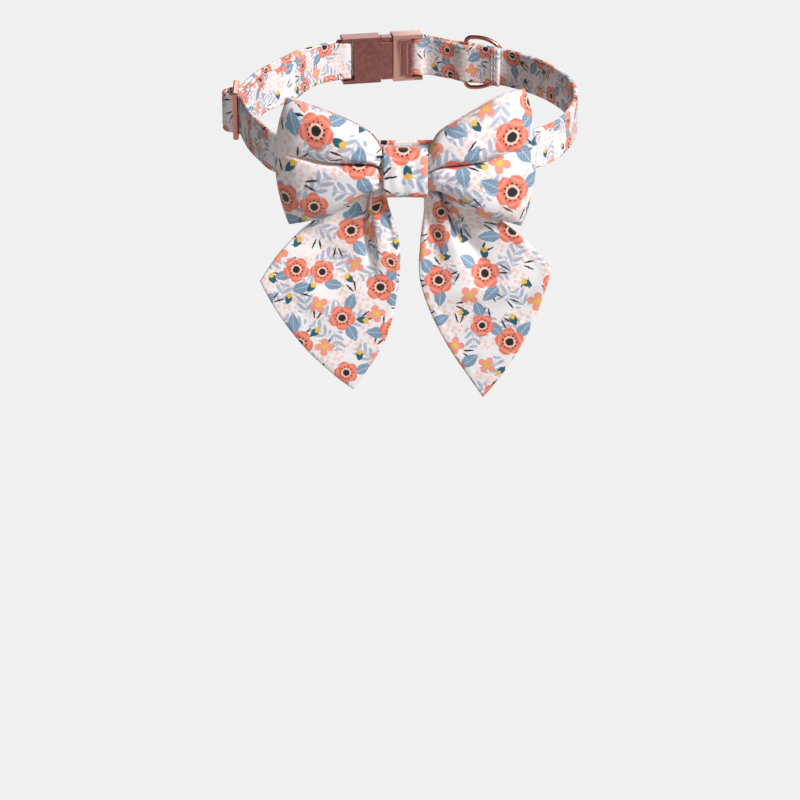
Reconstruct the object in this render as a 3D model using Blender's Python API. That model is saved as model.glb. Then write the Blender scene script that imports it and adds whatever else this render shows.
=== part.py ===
"""Pet bow tie collar: a fastened ring of fabric-covered strap with a metal quick-release buckle,
a three-bar slider and a leash ring, and a padded cloth bow with two pointed tails at the front.

Metres, +Z up. The pet's neck passes through the ring along Z, the bow is on the -Y side and the
buckle at the back. The origin is the middle of the ring, half way up the strap."""

import math

import bmesh
import bpy
import numpy as np
from mathutils import Matrix, Vector

# Air between pieces that touch, and between layers of strap
GAP = 0.0003

# Ring of strap
RING_WIDTH = 0.168
RING_DEPTH = 0.161
STRAP_HEIGHT = 0.020
STRAP_THICK = 0.0024
STRAP_EDGE = 0.0005         # bevel along the strap's four long edges
STRAP_SLACK = 0.0045        # how far the inner layer bows away between slider and buckle
SEAM_BEARING = 52.0         # where the doubled strap ends, in degrees from +X
SEWN_LENGTH = 0.012         # strap end sewn back beyond the slider
WIRE_POCKET = 4.2           # degrees over which the inner layer clears the leash ring's bar

# Buckle
BUCKLE_BEARING = 99.0
BUCKLE_BAR_PITCH = 0.0395   # between the two bars that carry the strap
BUCKLE_THICK = 0.0092
BUCKLE_BAR_RADIUS = 0.0015
BUCKLE_RAIL = 0.0019        # metal above and below the strap
BUCKLE_WALL = 0.0014
BUCKLE_JOINT = 0.0052       # from the buckle's middle to the joint between its halves
BUCKLE_EDGE = 0.0005
BUCKLE_BUTTON = 0.0008      # how far the side buttons stay below the buckle's top and bottom
NOTCH_LENGTH = 0.0062
NOTCH_DEPTH = 0.0030
ARM_WIDTH = 0.0030
TONGUE_LENGTH = 0.0085
RIDGE_WIDTH = 0.0010
RIDGE_RISE = 0.0005
RIDGE_INSET = 0.0040        # from the buckle's top and bottom to the ends of the ridges

# Slider
SLIDER_BEARING = 184.0
SLIDER_BAR = 0.0028
SLIDER_RAIL = 0.0018        # metal above and below the strap
SLIDER_EDGE = 0.0006
SLIDER_EASE = 1.10          # bar pitch as a share of the tightest that the strap can turn through

# Leash ring
RING_BEARING = 66.5
RING_WIRE_RADIUS = 0.0011
RING_RISE = 0.0136          # from the ring's middle to the middle of its top
RING_REACH = 0.0205         # from the bar's middle to the middle of the arc
RING_CORNER = 0.0030        # bend at each end of the bar
RING_SWING = 66.0           # degrees from straight out, towards the right

# Play between the strap's edges and the metal above and below them
EDGE_PLAY = 0.0004

# Bow
BOW_SPAN = 0.124
BOW_HEIGHT = 0.066
BOW_DEPTH = 0.015
BOW_WALL = 0.0013
BOW_EDGE_ARC = 0.10         # how much the corners stand in from the middle of each outer fold
EDGE_CLOSING = 0.66         # how far front and back close up towards the open edges
PLEAT_WIDTH = 0.12          # spread of the pleat, as a share of half the loop's height
BOW_SWEEP = 0.009           # how far the ends lie behind the knot
BOW_DROP = 0.0008           # knot's middle below the strap's middle
KNOT_WIDTH = 0.0208
KNOT_HEIGHT = 0.0250
KNOT_DEPTH = 0.0125
KNOT_WALL = 0.0014
TAB_WIDTH = 0.010           # hidden tab that sews the bow to the strap
TAB_HEIGHT = 0.013
TAB_THICK = 0.0010

# Tails
TAIL_SPAN = 0.070           # from the middle to the outer corner
TAIL_DROP = 0.114           # from the knot's middle down to the point
TAIL_WALL = 0.0016
TAIL_BUNDLE = 0.0046        # depth of the gathered top
TAIL_FOLD = 0.0060          # depth of the largest fold
FOLD_OPENING = 0.014        # drop below the knot in which the folds open to their full depth
TAIL_END_ARC = 0.0050       # how far the slanted ends bulge
TAIL_SWING = 0.006          # how far the points hang in front of the gathers
TAIL_PARTING = 0.0006       # between the two gathered tops

# Line of the ring at the strap's mid-thickness, seen from above
RING_ROWS = [
    # across, deep: shares of half the ring's width and of half its depth, clockwise from the front
    (0.00, -1.00),
    (-0.38, -0.985),
    (-0.70, -0.915),
    (-0.845, -0.640),
    (-0.930, -0.370),
    (-0.968, -0.070),
    (-0.950, 0.130),
    (-0.885, 0.345),
    (-0.765, 0.580),
    (-0.630, 0.800),
    (-0.400, 0.935),
    (-0.160, 1.000),
    (0.080, 1.035),
    (0.300, 0.972),
    (0.535, 0.838),
    (0.715, 0.695),
    (0.885, 0.450),
    (0.985, 0.165),
    (1.005, -0.100),
    (0.930, -0.480),
    (0.790, -0.740),
    (0.560, -0.890),
    (0.280, -0.975),
]

# Loops of the bow from the knot to the outer fold
LOOP_ROWS = [
    # across: share of half the span; tops and bottoms: shares of the height, from the knot's middle;
    # front, back: shares of the depth; pleat: its depth as a share of the depth, and its level on
    # each side, from -1 at the bottom to 1 at the top
    # across, top_left, low_left, top_right, low_right, front, back, pleat, pleat_left, pleat_right
    (0.000, 0.138, -0.130, 0.138, -0.130, 0.235, 0.200, 0.060, -0.13, -0.25),
    (0.172, 0.152, -0.125, 0.152, -0.125, 0.245, 0.200, 0.080, -0.13, -0.25),
    (0.230, 0.250, -0.135, 0.260, -0.130, 0.430, 0.250, 0.270, -0.12, -0.26),
    (0.330, 0.325, -0.180, 0.345, -0.170, 0.560, 0.300, 0.330, -0.10, -0.22),
    (0.450, 0.380, -0.250, 0.405, -0.240, 0.620, 0.340, 0.300, -0.06, -0.15),
    (0.620, 0.435, -0.345, 0.490, -0.355, 0.620, 0.380, 0.230, -0.01, -0.08),
    (0.800, 0.480, -0.395, 0.560, -0.395, 0.560, 0.380, 0.120, 0.04, -0.01),
    (1.000, 0.520, -0.440, 0.585, -0.450, 0.400, 0.330, 0.030, 0.08, 0.03),
]

# Edges of the tails from the gathers down
TAIL_LEFT_ROWS = [
    # down: share of the way; the rest are shares of the span and of the drop, from the knot's middle
    # down, outer_across, outer_drop, inner_across, inner_drop
    (0.00, 0.130, -0.020, 0.010, -0.030),
    (0.10, 0.185, 0.045, 0.100, 0.080),
    (0.20, 0.275, 0.090, 0.088, 0.160),
    (0.35, 0.450, 0.160, 0.047, 0.320),
    (0.55, 0.650, 0.250, 0.047, 0.520),
    (0.80, 0.870, 0.385, 0.150, 0.790),
    (1.00, 1.000, 0.500, 0.360, 1.000),
]
TAIL_RIGHT_ROWS = [
    # down, outer_across, outer_drop, inner_across, inner_drop
    (0.00, 0.130, -0.020, 0.010, -0.030),
    (0.10, 0.185, 0.045, 0.105, 0.080),
    (0.20, 0.280, 0.090, 0.125, 0.165),
    (0.35, 0.460, 0.160, 0.100, 0.330),
    (0.55, 0.670, 0.250, 0.103, 0.520),
    (0.80, 0.880, 0.360, 0.290, 0.800),
    (1.00, 1.000, 0.445, 0.540, 1.035),
]
TAIL_FOLDS = [
    # across: share from the outer edge; drift: how far it moves towards the outer edge on its way
    # down; width: share; height: share of the fold depth, forwards positive; reach: share of the way
    # across, drift, width, height, reach
    (0.10, 0.00, 0.10, 0.55, 0.60),
    (0.35, -0.10, 0.08, -1.25, 0.75),
    (0.57, 0.00, 0.10, 1.00, 0.85),
    (0.77, 0.02, 0.07, -0.40, 0.60),
    (0.93, 0.00, 0.08, 0.40, 0.70),
]

# Degrees of bearing over which the strap settles from a bar of the buckle or slider onto the ring's line
BUCKLE_SETTLE = 11.0
SLIDER_SETTLE = 8.5
SLIDER_SETTLE_INNER = 13.6  # the same for the layer that folds back inside the ring

# Straight strap beside a buckle bar, as a multiple of the turn's radius round it
STRAIGHT_LEAD = 1.3

# Fabric loops of the bow: where the outer fold's rounding starts, as a share of half the span, and
# the thinnest the wall gets where front and back nearly meet, as a share of the wall
FOLD_START = 0.80
LEAST_WALL = 0.35

# How far a cut reaches past the metal that it opens
CUT_PAST = 0.002

# Resolution of the faceted solids
TURN_STEP = 14.0            # degrees of bend for each length of strap
LONGEST_STEP = 0.010
WIRE_SIDES = 8


def clear_scene():
    for old in list(bpy.data.objects):
        bpy.data.objects.remove(old, do_unlink=True)


def material(name, colour, roughness, metallic=0.0):
    made = bpy.data.materials.new(name)
    made.use_nodes = True
    shader = made.node_tree.nodes["Principled BSDF"]
    shader.inputs["Base Color"].default_value = (*colour, 1.0)
    shader.inputs["Roughness"].default_value = roughness
    shader.inputs["Metallic"].default_value = metallic
    return made


def finish_object(name, mesh, look, smooth_angle=40.0):
    mesh.materials.append(look)
    mesh.shade_smooth()
    mesh.set_sharp_from_angle(angle=math.radians(smooth_angle))
    piece = bpy.data.objects.new(name, mesh)
    bpy.context.scene.collection.objects.link(piece)
    return piece


def sweep(name, rings, look, closed=False):
    """A solid through a row of sections with as many points each. A section's second half runs
    back along its first half, so an open end is capped with quads between the two."""
    bm = bmesh.new()
    loops = [[bm.verts.new(point) for point in ring] for ring in rings]
    count = len(loops[0])
    pairs = list(zip(loops, loops[1:]))
    if closed:
        pairs.append((loops[-1], loops[0]))
    for near, far in pairs:
        for i in range(count):
            j = (i + 1) % count
            bm.faces.new((near[i], near[j], far[j], far[i]))
    if not closed:
        for loop in (loops[0], loops[-1]):
            for i in range(count // 2 - 1):
                bm.faces.new((loop[i], loop[i + 1], loop[count - 2 - i], loop[count - 1 - i]))
    bmesh.ops.recalc_face_normals(bm, faces=bm.faces)
    mesh = bpy.data.meshes.new(name)
    bm.to_mesh(mesh)
    bm.free()
    return finish_object(name, mesh, look)


def smooth_table(rows, share):
    """The table's other columns at a share of its first one, along a smooth curve."""
    table = np.array(rows, dtype=float)
    key = table[:, 0]
    slopes = np.gradient(table[:, 1:], key, axis=0)
    i = int(np.clip(np.searchsorted(key, share) - 1, 0, len(key) - 2))
    width = key[i + 1] - key[i]
    t = (share - key[i]) / width
    start, end = table[i, 1:], table[i + 1, 1:]
    return ((2 * t**3 - 3 * t**2 + 1) * start + (t**3 - 2 * t**2 + t) * width * slopes[i]
            + (3 * t**2 - 2 * t**3) * end + (t**3 - t**2) * width * slopes[i + 1])


def smooth_line(points, per_span=10, closed=False):
    """Points along a centripetal Catmull-Rom curve through the given plan points."""
    given = [np.array(p, dtype=float) for p in points]
    if closed:
        given = [given[-1], *given, given[0], given[1]]
    else:
        given = [2 * given[0] - given[1], *given, 2 * given[-1] - given[-2]]
    line = []
    for p0, p1, p2, p3 in zip(given, given[1:], given[2:], given[3:]):
        t0 = 0.0
        t1 = t0 + math.sqrt(np.linalg.norm(p1 - p0))
        t2 = t1 + math.sqrt(np.linalg.norm(p2 - p1))
        t3 = t2 + math.sqrt(np.linalg.norm(p3 - p2))
        for k in range(per_span):
            t = t1 + (t2 - t1) * k / per_span
            a1 = (t1 - t) / (t1 - t0) * p0 + (t - t0) / (t1 - t0) * p1
            a2 = (t2 - t) / (t2 - t1) * p1 + (t - t1) / (t2 - t1) * p2
            a3 = (t3 - t) / (t3 - t2) * p2 + (t - t2) / (t3 - t2) * p3
            b1 = (t2 - t) / (t2 - t0) * a1 + (t - t0) / (t2 - t0) * a2
            b2 = (t3 - t) / (t3 - t1) * a2 + (t - t1) / (t3 - t1) * a3
            line.append((t2 - t) / (t2 - t1) * b1 + (t - t1) / (t2 - t1) * b2)
    if not closed:
        line.append(given[-2])
    return line


def thin_out(line):
    """Keeps a point of the line at each turn of TURN_STEP or each LONGEST_STEP of length."""
    kept = [line[0]]
    turned = run = 0.0
    for before, here, after in zip(line, line[1:], line[2:]):
        incoming, outgoing = here - before, after - here
        turned += abs(math.degrees(math.atan2(incoming[0] * outgoing[1] - incoming[1] * outgoing[0],
                                              incoming @ outgoing)))
        run += np.linalg.norm(incoming)
        if turned >= TURN_STEP or run >= LONGEST_STEP:
            kept.append(here)
            turned = run = 0.0
    kept.append(line[-1])
    return kept


# Plan of the ring
RING_LINE = np.array(smooth_line([(across * RING_WIDTH / 2, deep * RING_DEPTH / 2)
                                  for across, deep in RING_ROWS], closed=True))
RING_BEARINGS = np.degrees(np.arctan2(RING_LINE[:, 1], RING_LINE[:, 0]))


def ring_point(bearing):
    order = np.argsort(RING_BEARINGS)
    return np.array([np.interp(bearing, RING_BEARINGS[order], RING_LINE[order, axis], period=360)
                     for axis in (0, 1)])


class Frame:
    """A place on the ring: s runs clockwise along the strap, n points away from the neck."""

    def __init__(self, bearing, offset=0.0):
        ahead, behind = ring_point(bearing - 1.5), ring_point(bearing + 1.5)
        self.along = (ahead - behind) / np.linalg.norm(ahead - behind)
        self.outward = np.array((-self.along[1], self.along[0]))
        self.centre = ring_point(bearing) + self.outward * offset

    def plan(self, s, n):
        return self.centre + self.along * s + self.outward * n

    def matrix(self):
        """Local X is s, local Y is n and local Z is up."""
        return Matrix(((self.along[0], self.outward[0], 0.0, self.centre[0]),
                       (self.along[1], self.outward[1], 0.0, self.centre[1]),
                       (0.0, 0.0, 1.0, 0.0),
                       (0.0, 0.0, 0.0, 1.0)))


# Sizes that follow from the ones above
LAYER_PITCH = STRAP_THICK + GAP
BUCKLE_TURN = BUCKLE_BAR_RADIUS + GAP + STRAP_THICK / 2
SLIDER_CORNER = math.hypot(SLIDER_BAR / 2, SLIDER_BAR / 2 - SLIDER_EDGE)
SLIDER_UNDER = SLIDER_CORNER + GAP + STRAP_THICK / 2
SLIDER_OVER = SLIDER_UNDER + LAYER_PITCH
SLIDER_PITCH = (SLIDER_UNDER + SLIDER_OVER) * SLIDER_EASE
SLIDER_LEAN = math.asin((SLIDER_UNDER + SLIDER_OVER) / SLIDER_PITCH)
WIRE_LIFT = RING_WIRE_RADIUS + GAP + STRAP_THICK / 2
STRAP_SLOT = STRAP_HEIGHT + 2 * EDGE_PLAY

BUCKLE = Frame(BUCKLE_BEARING)
SLIDER = Frame(SLIDER_BEARING, SLIDER_UNDER)
LEASH = Frame(RING_BEARING, -WIRE_LIFT)

TAB_BACK = -RING_DEPTH / 2 - STRAP_THICK / 2 - GAP
KNOT_BACK = TAB_BACK - TAB_THICK - GAP - TAIL_BUNDLE - GAP
KNOT_MIDDLE = KNOT_BACK - KNOT_DEPTH / 2


def bearing_of(point):
    return math.degrees(math.atan2(point[1], point[0])) % 360


def ring_run(start, end, offset, step=9.0):
    """Plan points at a height above the ring's line, which may change along the way."""
    count = max(2, round(abs(end - start) / step))
    run = []
    for k in range(count + 1):
        share = k / count
        place = Frame(start + (end - start) * share)
        run.append(place.plan(0.0, offset(share)))
    return run


def turn(frame, s, n, radius, start, end, count):
    """Plan points on an arc round a bar of a buckle or slider, angles in degrees from s to n."""
    return [frame.plan(s + radius * math.cos(math.radians(a)), n + radius * math.sin(math.radians(a)))
            for a in np.linspace(start, end, count)]


def strap_route():
    lean = math.degrees(SLIDER_LEAN)
    half = BUCKLE_BAR_PITCH / 2
    right_bar = bearing_of(BUCKLE.plan(half, 0.0))
    left_bar = bearing_of(BUCKLE.plan(-half, 0.0))
    leash = bearing_of(LEASH.centre)
    slider_front = bearing_of(SLIDER.plan(-SLIDER_PITCH, 0.0))
    slider_back = bearing_of(SLIDER.plan(SLIDER_PITCH, 0.0))

    def below_ring_wire(share):
        bearing = SEAM_BEARING + (right_bar - BUCKLE_SETTLE - SEAM_BEARING) * share
        bulge = math.exp(-(((bearing - leash) / WIRE_POCKET) ** 2))
        return -LAYER_PITCH - (2 * WIRE_LIFT - LAYER_PITCH) * bulge

    def level(share):
        return 0.0

    def inner_left(share):
        start, end = -BUCKLE_TURN, -2 * LAYER_PITCH
        return start + (end - start) * share - STRAP_SLACK * math.sin(math.pi * share)

    lead = STRAIGHT_LEAD * BUCKLE_TURN
    route = []
    # Sewn end at the back right, towards the buckle
    route += ring_run(SEAM_BEARING, right_bar - BUCKLE_SETTLE, below_ring_wire, 3.0)
    # Round the prong half's bar and back over the leash ring
    route.append(BUCKLE.plan(half + lead, -BUCKLE_TURN))
    route += turn(BUCKLE, half, 0.0, BUCKLE_TURN, 270.0, 90.0, 5)
    route.append(BUCKLE.plan(half + lead, BUCKLE_TURN))
    route += ring_run(right_bar - BUCKLE_SETTLE, slider_front - 360.0 + SLIDER_SETTLE, level)
    # Under the slider's front bar, over its middle bar and under its back bar
    route += turn(SLIDER, -SLIDER_PITCH, 0.0, SLIDER_UNDER, 270.0, 270.0 + lean, 3)
    route += turn(SLIDER, 0.0, 0.0, SLIDER_OVER, 90.0 + lean, 90.0 - lean, 7)
    route += turn(SLIDER, SLIDER_PITCH, 0.0, SLIDER_UNDER, 270.0 - lean, 270.0, 3)
    route += ring_run(slider_back - SLIDER_SETTLE, left_bar + BUCKLE_SETTLE, level)
    # Round the housing's bar and back along the inside
    route.append(BUCKLE.plan(-half - lead, BUCKLE_TURN))
    route += turn(BUCKLE, -half, 0.0, BUCKLE_TURN, 90.0, -90.0, 5)
    route.append(BUCKLE.plan(-half - lead, -BUCKLE_TURN))
    route += ring_run(left_bar + BUCKLE_SETTLE, slider_back - SLIDER_SETTLE_INNER, inner_left)
    # Round the slider's middle bar, and sewn back between the other two layers
    outer_leg = SLIDER_UNDER + 2 * LAYER_PITCH
    route += turn(SLIDER, SLIDER_PITCH, 0.0, outer_leg, 265.0, 235.0, 3)
    route += turn(SLIDER, 0.0, 0.0, SLIDER_UNDER, 262.0, 90.0 - lean, 8)
    inner_leg = SLIDER_UNDER + LAYER_PITCH
    route += turn(SLIDER, SLIDER_PITCH, 0.0, inner_leg, 270.0 - lean, 270.0, 3)
    sewn_end = bearing_of(SLIDER.plan(SLIDER_PITCH + SEWN_LENGTH, 0.0))
    end_place = Frame(sewn_end, -LAYER_PITCH)
    route.append(end_place.plan(0.0, 0.0))
    return thin_out(smooth_line(route))


def strap_section(thick, height):
    """Corner points (n, z) of the bevelled strip, outer side up and inner side down."""
    n, z, edge = thick / 2, height / 2, STRAP_EDGE
    side = [(n - edge, -z), (n, edge - z), (n, z - edge), (n - edge, z)]
    return side + [(-across, up) for across, up in reversed(side)]


def build_strap(look):
    line = strap_route()
    section = strap_section(STRAP_THICK, STRAP_HEIGHT)
    rings = []
    for i, here in enumerate(line):
        before, after = line[max(i - 1, 0)], line[min(i + 1, len(line) - 1)]
        arriving, leaving = here - before, after - here
        parts = [v / np.linalg.norm(v) for v in (arriving, leaving) if np.linalg.norm(v) > 0]
        along = sum(parts) / np.linalg.norm(sum(parts))
        stretch = 1.0 / max(0.7, parts[0] @ along)
        side = np.array((-along[1], along[0])) * stretch
        rings.append([Vector((*(here + side * n), z)) for n, z in section])
    return sweep("strap", rings, look)


def block(low, high):
    """A box as its own mesh, from its lowest to its highest corner."""
    bm = bmesh.new()
    bmesh.ops.create_cube(bm, size=1.0)
    low, high = Vector(low), Vector(high)
    for vert in bm.verts:
        vert.co = Vector(((low[i] + high[i]) / 2 + vert.co[i] * (high[i] - low[i])) for i in range(3))
    return bm


def rod(radius, length, sides, centre):
    """An upright round bar as its own mesh."""
    bm = bmesh.new()
    bmesh.ops.create_cone(bm, cap_ends=True, segments=sides, radius1=radius, radius2=radius,
                          depth=length, matrix=Matrix.Translation(centre))
    return bm


def helper(bm):
    """A guide object for a Boolean, kept out of the model."""
    mesh = bpy.data.meshes.new("guide")
    bm.to_mesh(mesh)
    bm.free()
    guide = bpy.data.objects.new("guide", mesh)
    guide.hide_render = True
    guide.display_type = 'WIRE'
    bpy.context.scene.collection.objects.link(guide)
    return guide


def carve(name, body, steps, frame, look, edge):
    """A metal piece in the frame's own axes: each step cuts away or adds another mesh, in order."""
    mesh = bpy.data.meshes.new(name)
    body.to_mesh(mesh)
    body.free()
    piece = finish_object(name, mesh, look)
    piece.matrix_world = frame.matrix()
    for operation, bm in steps:
        guide = helper(bm)
        guide.matrix_world = frame.matrix()
        boolean = piece.modifiers.new(operation.lower(), 'BOOLEAN')
        boolean.operation = operation
        boolean.solver = 'EXACT'
        boolean.object = guide
    bevel = piece.modifiers.new("bevel", 'BEVEL')
    bevel.width = edge
    bevel.segments = 1
    bevel.limit_method = 'ANGLE'
    bevel.angle_limit = math.radians(50.0)
    return piece


def build_buckle(look):
    half = BUCKLE_BAR_PITCH / 2
    end = half + BUCKLE_BAR_RADIUS
    slot_wall = half - BUCKLE_TURN - STRAP_THICK / 2 - GAP
    thick, tall = BUCKLE_THICK / 2, STRAP_SLOT / 2 + BUCKLE_RAIL
    slot, past = STRAP_SLOT / 2, CUT_PAST
    inner_n, inner_z = thick - BUCKLE_WALL, tall - BUCKLE_WALL
    joint = BUCKLE_JOINT
    bar_length = STRAP_SLOT + BUCKLE_RAIL

    housing = carve("buckle_housing", block((-end, -thick, -tall), (joint, thick, tall)), [
        ('DIFFERENCE', block((-end - past, -thick - past, -slot), (-slot_wall, thick + past, slot))),
        ('DIFFERENCE', block((-slot_wall + BUCKLE_WALL, -inner_n, -inner_z),
                             (joint + past, inner_n, inner_z))),
        ('DIFFERENCE', block((joint - NOTCH_LENGTH, -thick - past, tall - NOTCH_DEPTH),
                             (joint + past, thick + past, tall + past))),
        ('DIFFERENCE', block((joint - NOTCH_LENGTH, -thick - past, -tall - past),
                             (joint + past, thick + past, NOTCH_DEPTH - tall))),
        ('UNION', rod(BUCKLE_BAR_RADIUS, bar_length, 10, (-half, 0.0, 0.0))),
    ], BUCKLE, look, BUCKLE_EDGE)

    face = joint + GAP
    arm_n, arm_z = inner_n - GAP, inner_z - GAP
    arm_low = arm_z - ARM_WIDTH
    button = tall - BUCKLE_BUTTON
    reach = joint - TONGUE_LENGTH
    prongs = [
        ('DIFFERENCE', block((slot_wall, -thick - past, -slot), (end + past, thick + past, slot))),
        ('UNION', block((reach, -arm_n, -ARM_WIDTH), (face + past, arm_n, ARM_WIDTH))),
        ('UNION', rod(BUCKLE_BAR_RADIUS, bar_length, 10, (half, 0.0, 0.0))),
    ]
    for side in (1, -1):
        arm = sorted((side * arm_low, side * arm_z))
        bump = sorted((side * arm_low, side * button))
        prongs.append(('UNION', block((reach, -arm_n, arm[0]), (face + past, arm_n, arm[1]))))
        prongs.append(('UNION', block((joint - NOTCH_LENGTH + 2 * GAP, -arm_n, bump[0]),
                                      (face + past, arm_n, bump[1]))))
    for side in (1, -1):
        for place in (0.35, 0.75):
            s = face + (slot_wall - face) * place
            ridge = sorted((side * (thick - past), side * (thick + RIDGE_RISE)))
            prongs.append(('UNION', block((s, ridge[0], RIDGE_INSET - tall), (s + RIDGE_WIDTH, ridge[1],
                                                                             tall - RIDGE_INSET))))
    prong_half = carve("buckle_prong_half", block((face, -thick, -tall), (end, thick, tall)), prongs,
                       BUCKLE, look, BUCKLE_EDGE)
    return housing, prong_half


def build_slider(look):
    bar = SLIDER_BAR / 2
    end = SLIDER_PITCH + bar
    slot = STRAP_SLOT / 2
    tall = slot + SLIDER_RAIL
    past = CUT_PAST
    cuts = []
    for side in (1, -1):
        window = sorted((side * bar, side * (SLIDER_PITCH - bar)))
        cuts.append(('DIFFERENCE', block((window[0], -bar - past, -slot), (window[1], bar + past, slot))))
    return carve("slider", block((-end, -bar, -tall), (end, bar, tall)), cuts, SLIDER, look, SLIDER_EDGE)


def build_leash_ring(look):
    """A closed D of round wire: its bar stands between the two layers of strap."""
    wire = RING_WIRE_RADIUS
    rise, corner = RING_RISE, RING_CORNER
    straight = corner * 1.7
    path = [(0.0, -rise + corner), (0.0, 0.0), (0.0, rise - corner)]
    path += [(corner - corner * math.cos(a), rise - corner + corner * math.sin(a))
             for a in np.linspace(0.0, math.pi / 2, 4)[1:]]
    path += [(straight + (RING_REACH - straight) * math.sin(a), rise * math.cos(a))
             for a in np.linspace(0.0, math.pi, 13)]
    path += [(corner - corner * math.cos(a), -rise + corner - corner * math.sin(a))
             for a in np.linspace(math.pi / 2, 0.0, 4)[:-1]]
    rings = []
    count = len(path)
    for i in range(count):
        x, z = path[i]
        before, after = path[i - 1], path[(i + 1) % count]
        along = Vector((after[0] - before[0], 0.0, after[1] - before[1])).normalized()
        side = Vector((along.z, 0.0, -along.x))
        rings.append([Vector((x, 0.0, z)) + side * (wire * math.cos(a)) + Vector((0, wire * math.sin(a), 0))
                      for a in (2 * math.pi * (k + 0.5) / WIRE_SIDES for k in range(WIRE_SIDES))])
    ring = sweep("d_ring", rings, look, closed=True)
    outward = math.atan2(LEASH.outward[1], LEASH.outward[0])
    ring.location = (*LEASH.centre, 0.0)
    ring.rotation_euler = (0.0, 0.0, outward - math.radians(RING_SWING))
    return ring


def bow_sweep(x):
    """How far the bow's line lies behind the knot at a place across it."""
    return BOW_SWEEP * (x / (BOW_SPAN / 2)) ** 2


def loop_levels(side, share):
    """Top, bottom, front, back and pleat depth of a loop in metres, and the pleat's level, at a share
    of half the span."""
    row = smooth_table(LOOP_ROWS, share)
    top, low, level = (row[0], row[1], row[7]) if side < 0 else (row[2], row[3], row[8])
    return (top * BOW_HEIGHT, low * BOW_HEIGHT, row[4] * BOW_DEPTH, row[5] * BOW_DEPTH,
            row[6] * BOW_DEPTH, level)


def loop_point(side, share, face, up, inset):
    """A point of a loop's wall: face is 1 on the front and -1 on the back, up runs from -1 at the
    bottom to 1 at the top, and inset is the depth below the outer surface."""
    top, low, front, back, pleat, level = loop_levels(side, share)
    rounding = max(0.0, (share - FOLD_START) / (1.0 - FOLD_START))
    fold = math.sqrt(max(0.0, 1.0 - rounding**2))
    half_span = BOW_SPAN / 2 - inset * rounding
    x = side * share * half_span * (1.0 - BOW_EDGE_ARC * up * up * share)
    z = (top + low) / 2 + up * (top - low) / 2
    crown = 1.0 - EDGE_CLOSING * min(1.0, 3.0 * share) * abs(up) ** 4
    if face > 0:
        reach = front * crown - pleat * math.exp(-(((up - level) / PLEAT_WIDTH) ** 2))
        y = -max(reach - inset, LEAST_WALL * BOW_WALL) * fold
    else:
        y = max(back * crown - inset, LEAST_WALL * BOW_WALL) * fold
    return Vector((x, KNOT_MIDDLE + y + bow_sweep(x), z - BOW_DROP))


def build_bow_loops(look):
    ups = [-1.0, -0.8, -0.55, -0.35, -0.22, -0.14, -0.06, 0.02, 0.15, 0.4, 0.7, 1.0]
    outward = [0.0, 0.09, 0.172, 0.20, 0.25, 0.31, 0.38, 0.47, 0.58, 0.69, 0.79, 0.87, 0.93, 0.97, 0.99]
    stations = []
    for side in (1, -1):
        shares = outward if side > 0 else outward[1:]
        front = [(side, share, 1) for share in shares]
        fold = [(side, 1.0, 1)]
        back = [(side, share, -1) for share in reversed(outward[1:] if side > 0 else outward)]
        if side > 0:
            stations += front + fold + back
        else:
            stations += list(reversed(front + fold + back))
    rings = []
    for side, share, face in stations:
        outer = [loop_point(side, share, face, up, 0.0) for up in ups]
        inner = [loop_point(side, share, face, up, BOW_WALL) for up in reversed(ups)]
        rings.append(outer + inner)
    return sweep("bow_loops", rings, look, closed=True)


def build_knot(look):
    """The band round the pinched middle: a rounded tube across the bow, open at its two sides."""
    inner = []
    outer = []
    count = 20
    for k in range(count):
        a = 2 * math.pi * (k + 0.5) / count
        for ring, inset in ((outer, 0.0), (inner, KNOT_WALL)):
            up, deep = math.sin(a), math.cos(a)
            z = (KNOT_HEIGHT / 2 - inset) * math.copysign(abs(up) ** 0.45, up)
            y = (KNOT_DEPTH / 2 - inset) * math.copysign(abs(deep) ** 0.55, deep)
            ring.append((y, z))
    # Each piece of the tube's wall is a section, swept once round the bow's middle
    across = np.linspace(-1.0, 1.0, 5) * KNOT_WIDTH / 2
    rings = []
    for (outer_y, outer_z), (inner_y, inner_z) in zip(outer, inner):
        ring = []
        for x in across:
            waist = 1.0 - 0.03 * (1.0 - (x / (KNOT_WIDTH / 2)) ** 2)
            ring.append(Vector((x, KNOT_MIDDLE + outer_y, outer_z * waist - BOW_DROP)))
        for x in reversed(across):
            waist = 1.0 - 0.03 * (1.0 - (x / (KNOT_WIDTH / 2)) ** 2)
            ring.append(Vector((x, KNOT_MIDDLE + inner_y, inner_z * waist - BOW_DROP)))
        rings.append(ring)
    return sweep("knot_band", rings, look, closed=True)


def build_tab(look):
    """The hidden tab between the gathered tails and the strap, flat on both sides."""
    front, back = TAB_BACK - TAB_THICK, TAB_BACK
    wide, tall = TAB_WIDTH / 2, TAB_HEIGHT / 2
    corner = TAB_HEIGHT * 0.15
    outline = [(-wide, corner - tall), (corner - wide, -tall), (wide - corner, -tall), (wide, corner - tall),
               (wide, tall - corner), (wide - corner, tall), (corner - wide, tall), (-wide, tall - corner)]
    rings = [[Vector((x, y, z)) for x, z in outline] for y in (front, back)]
    return sweep("bow_tab", rings, look)


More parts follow.
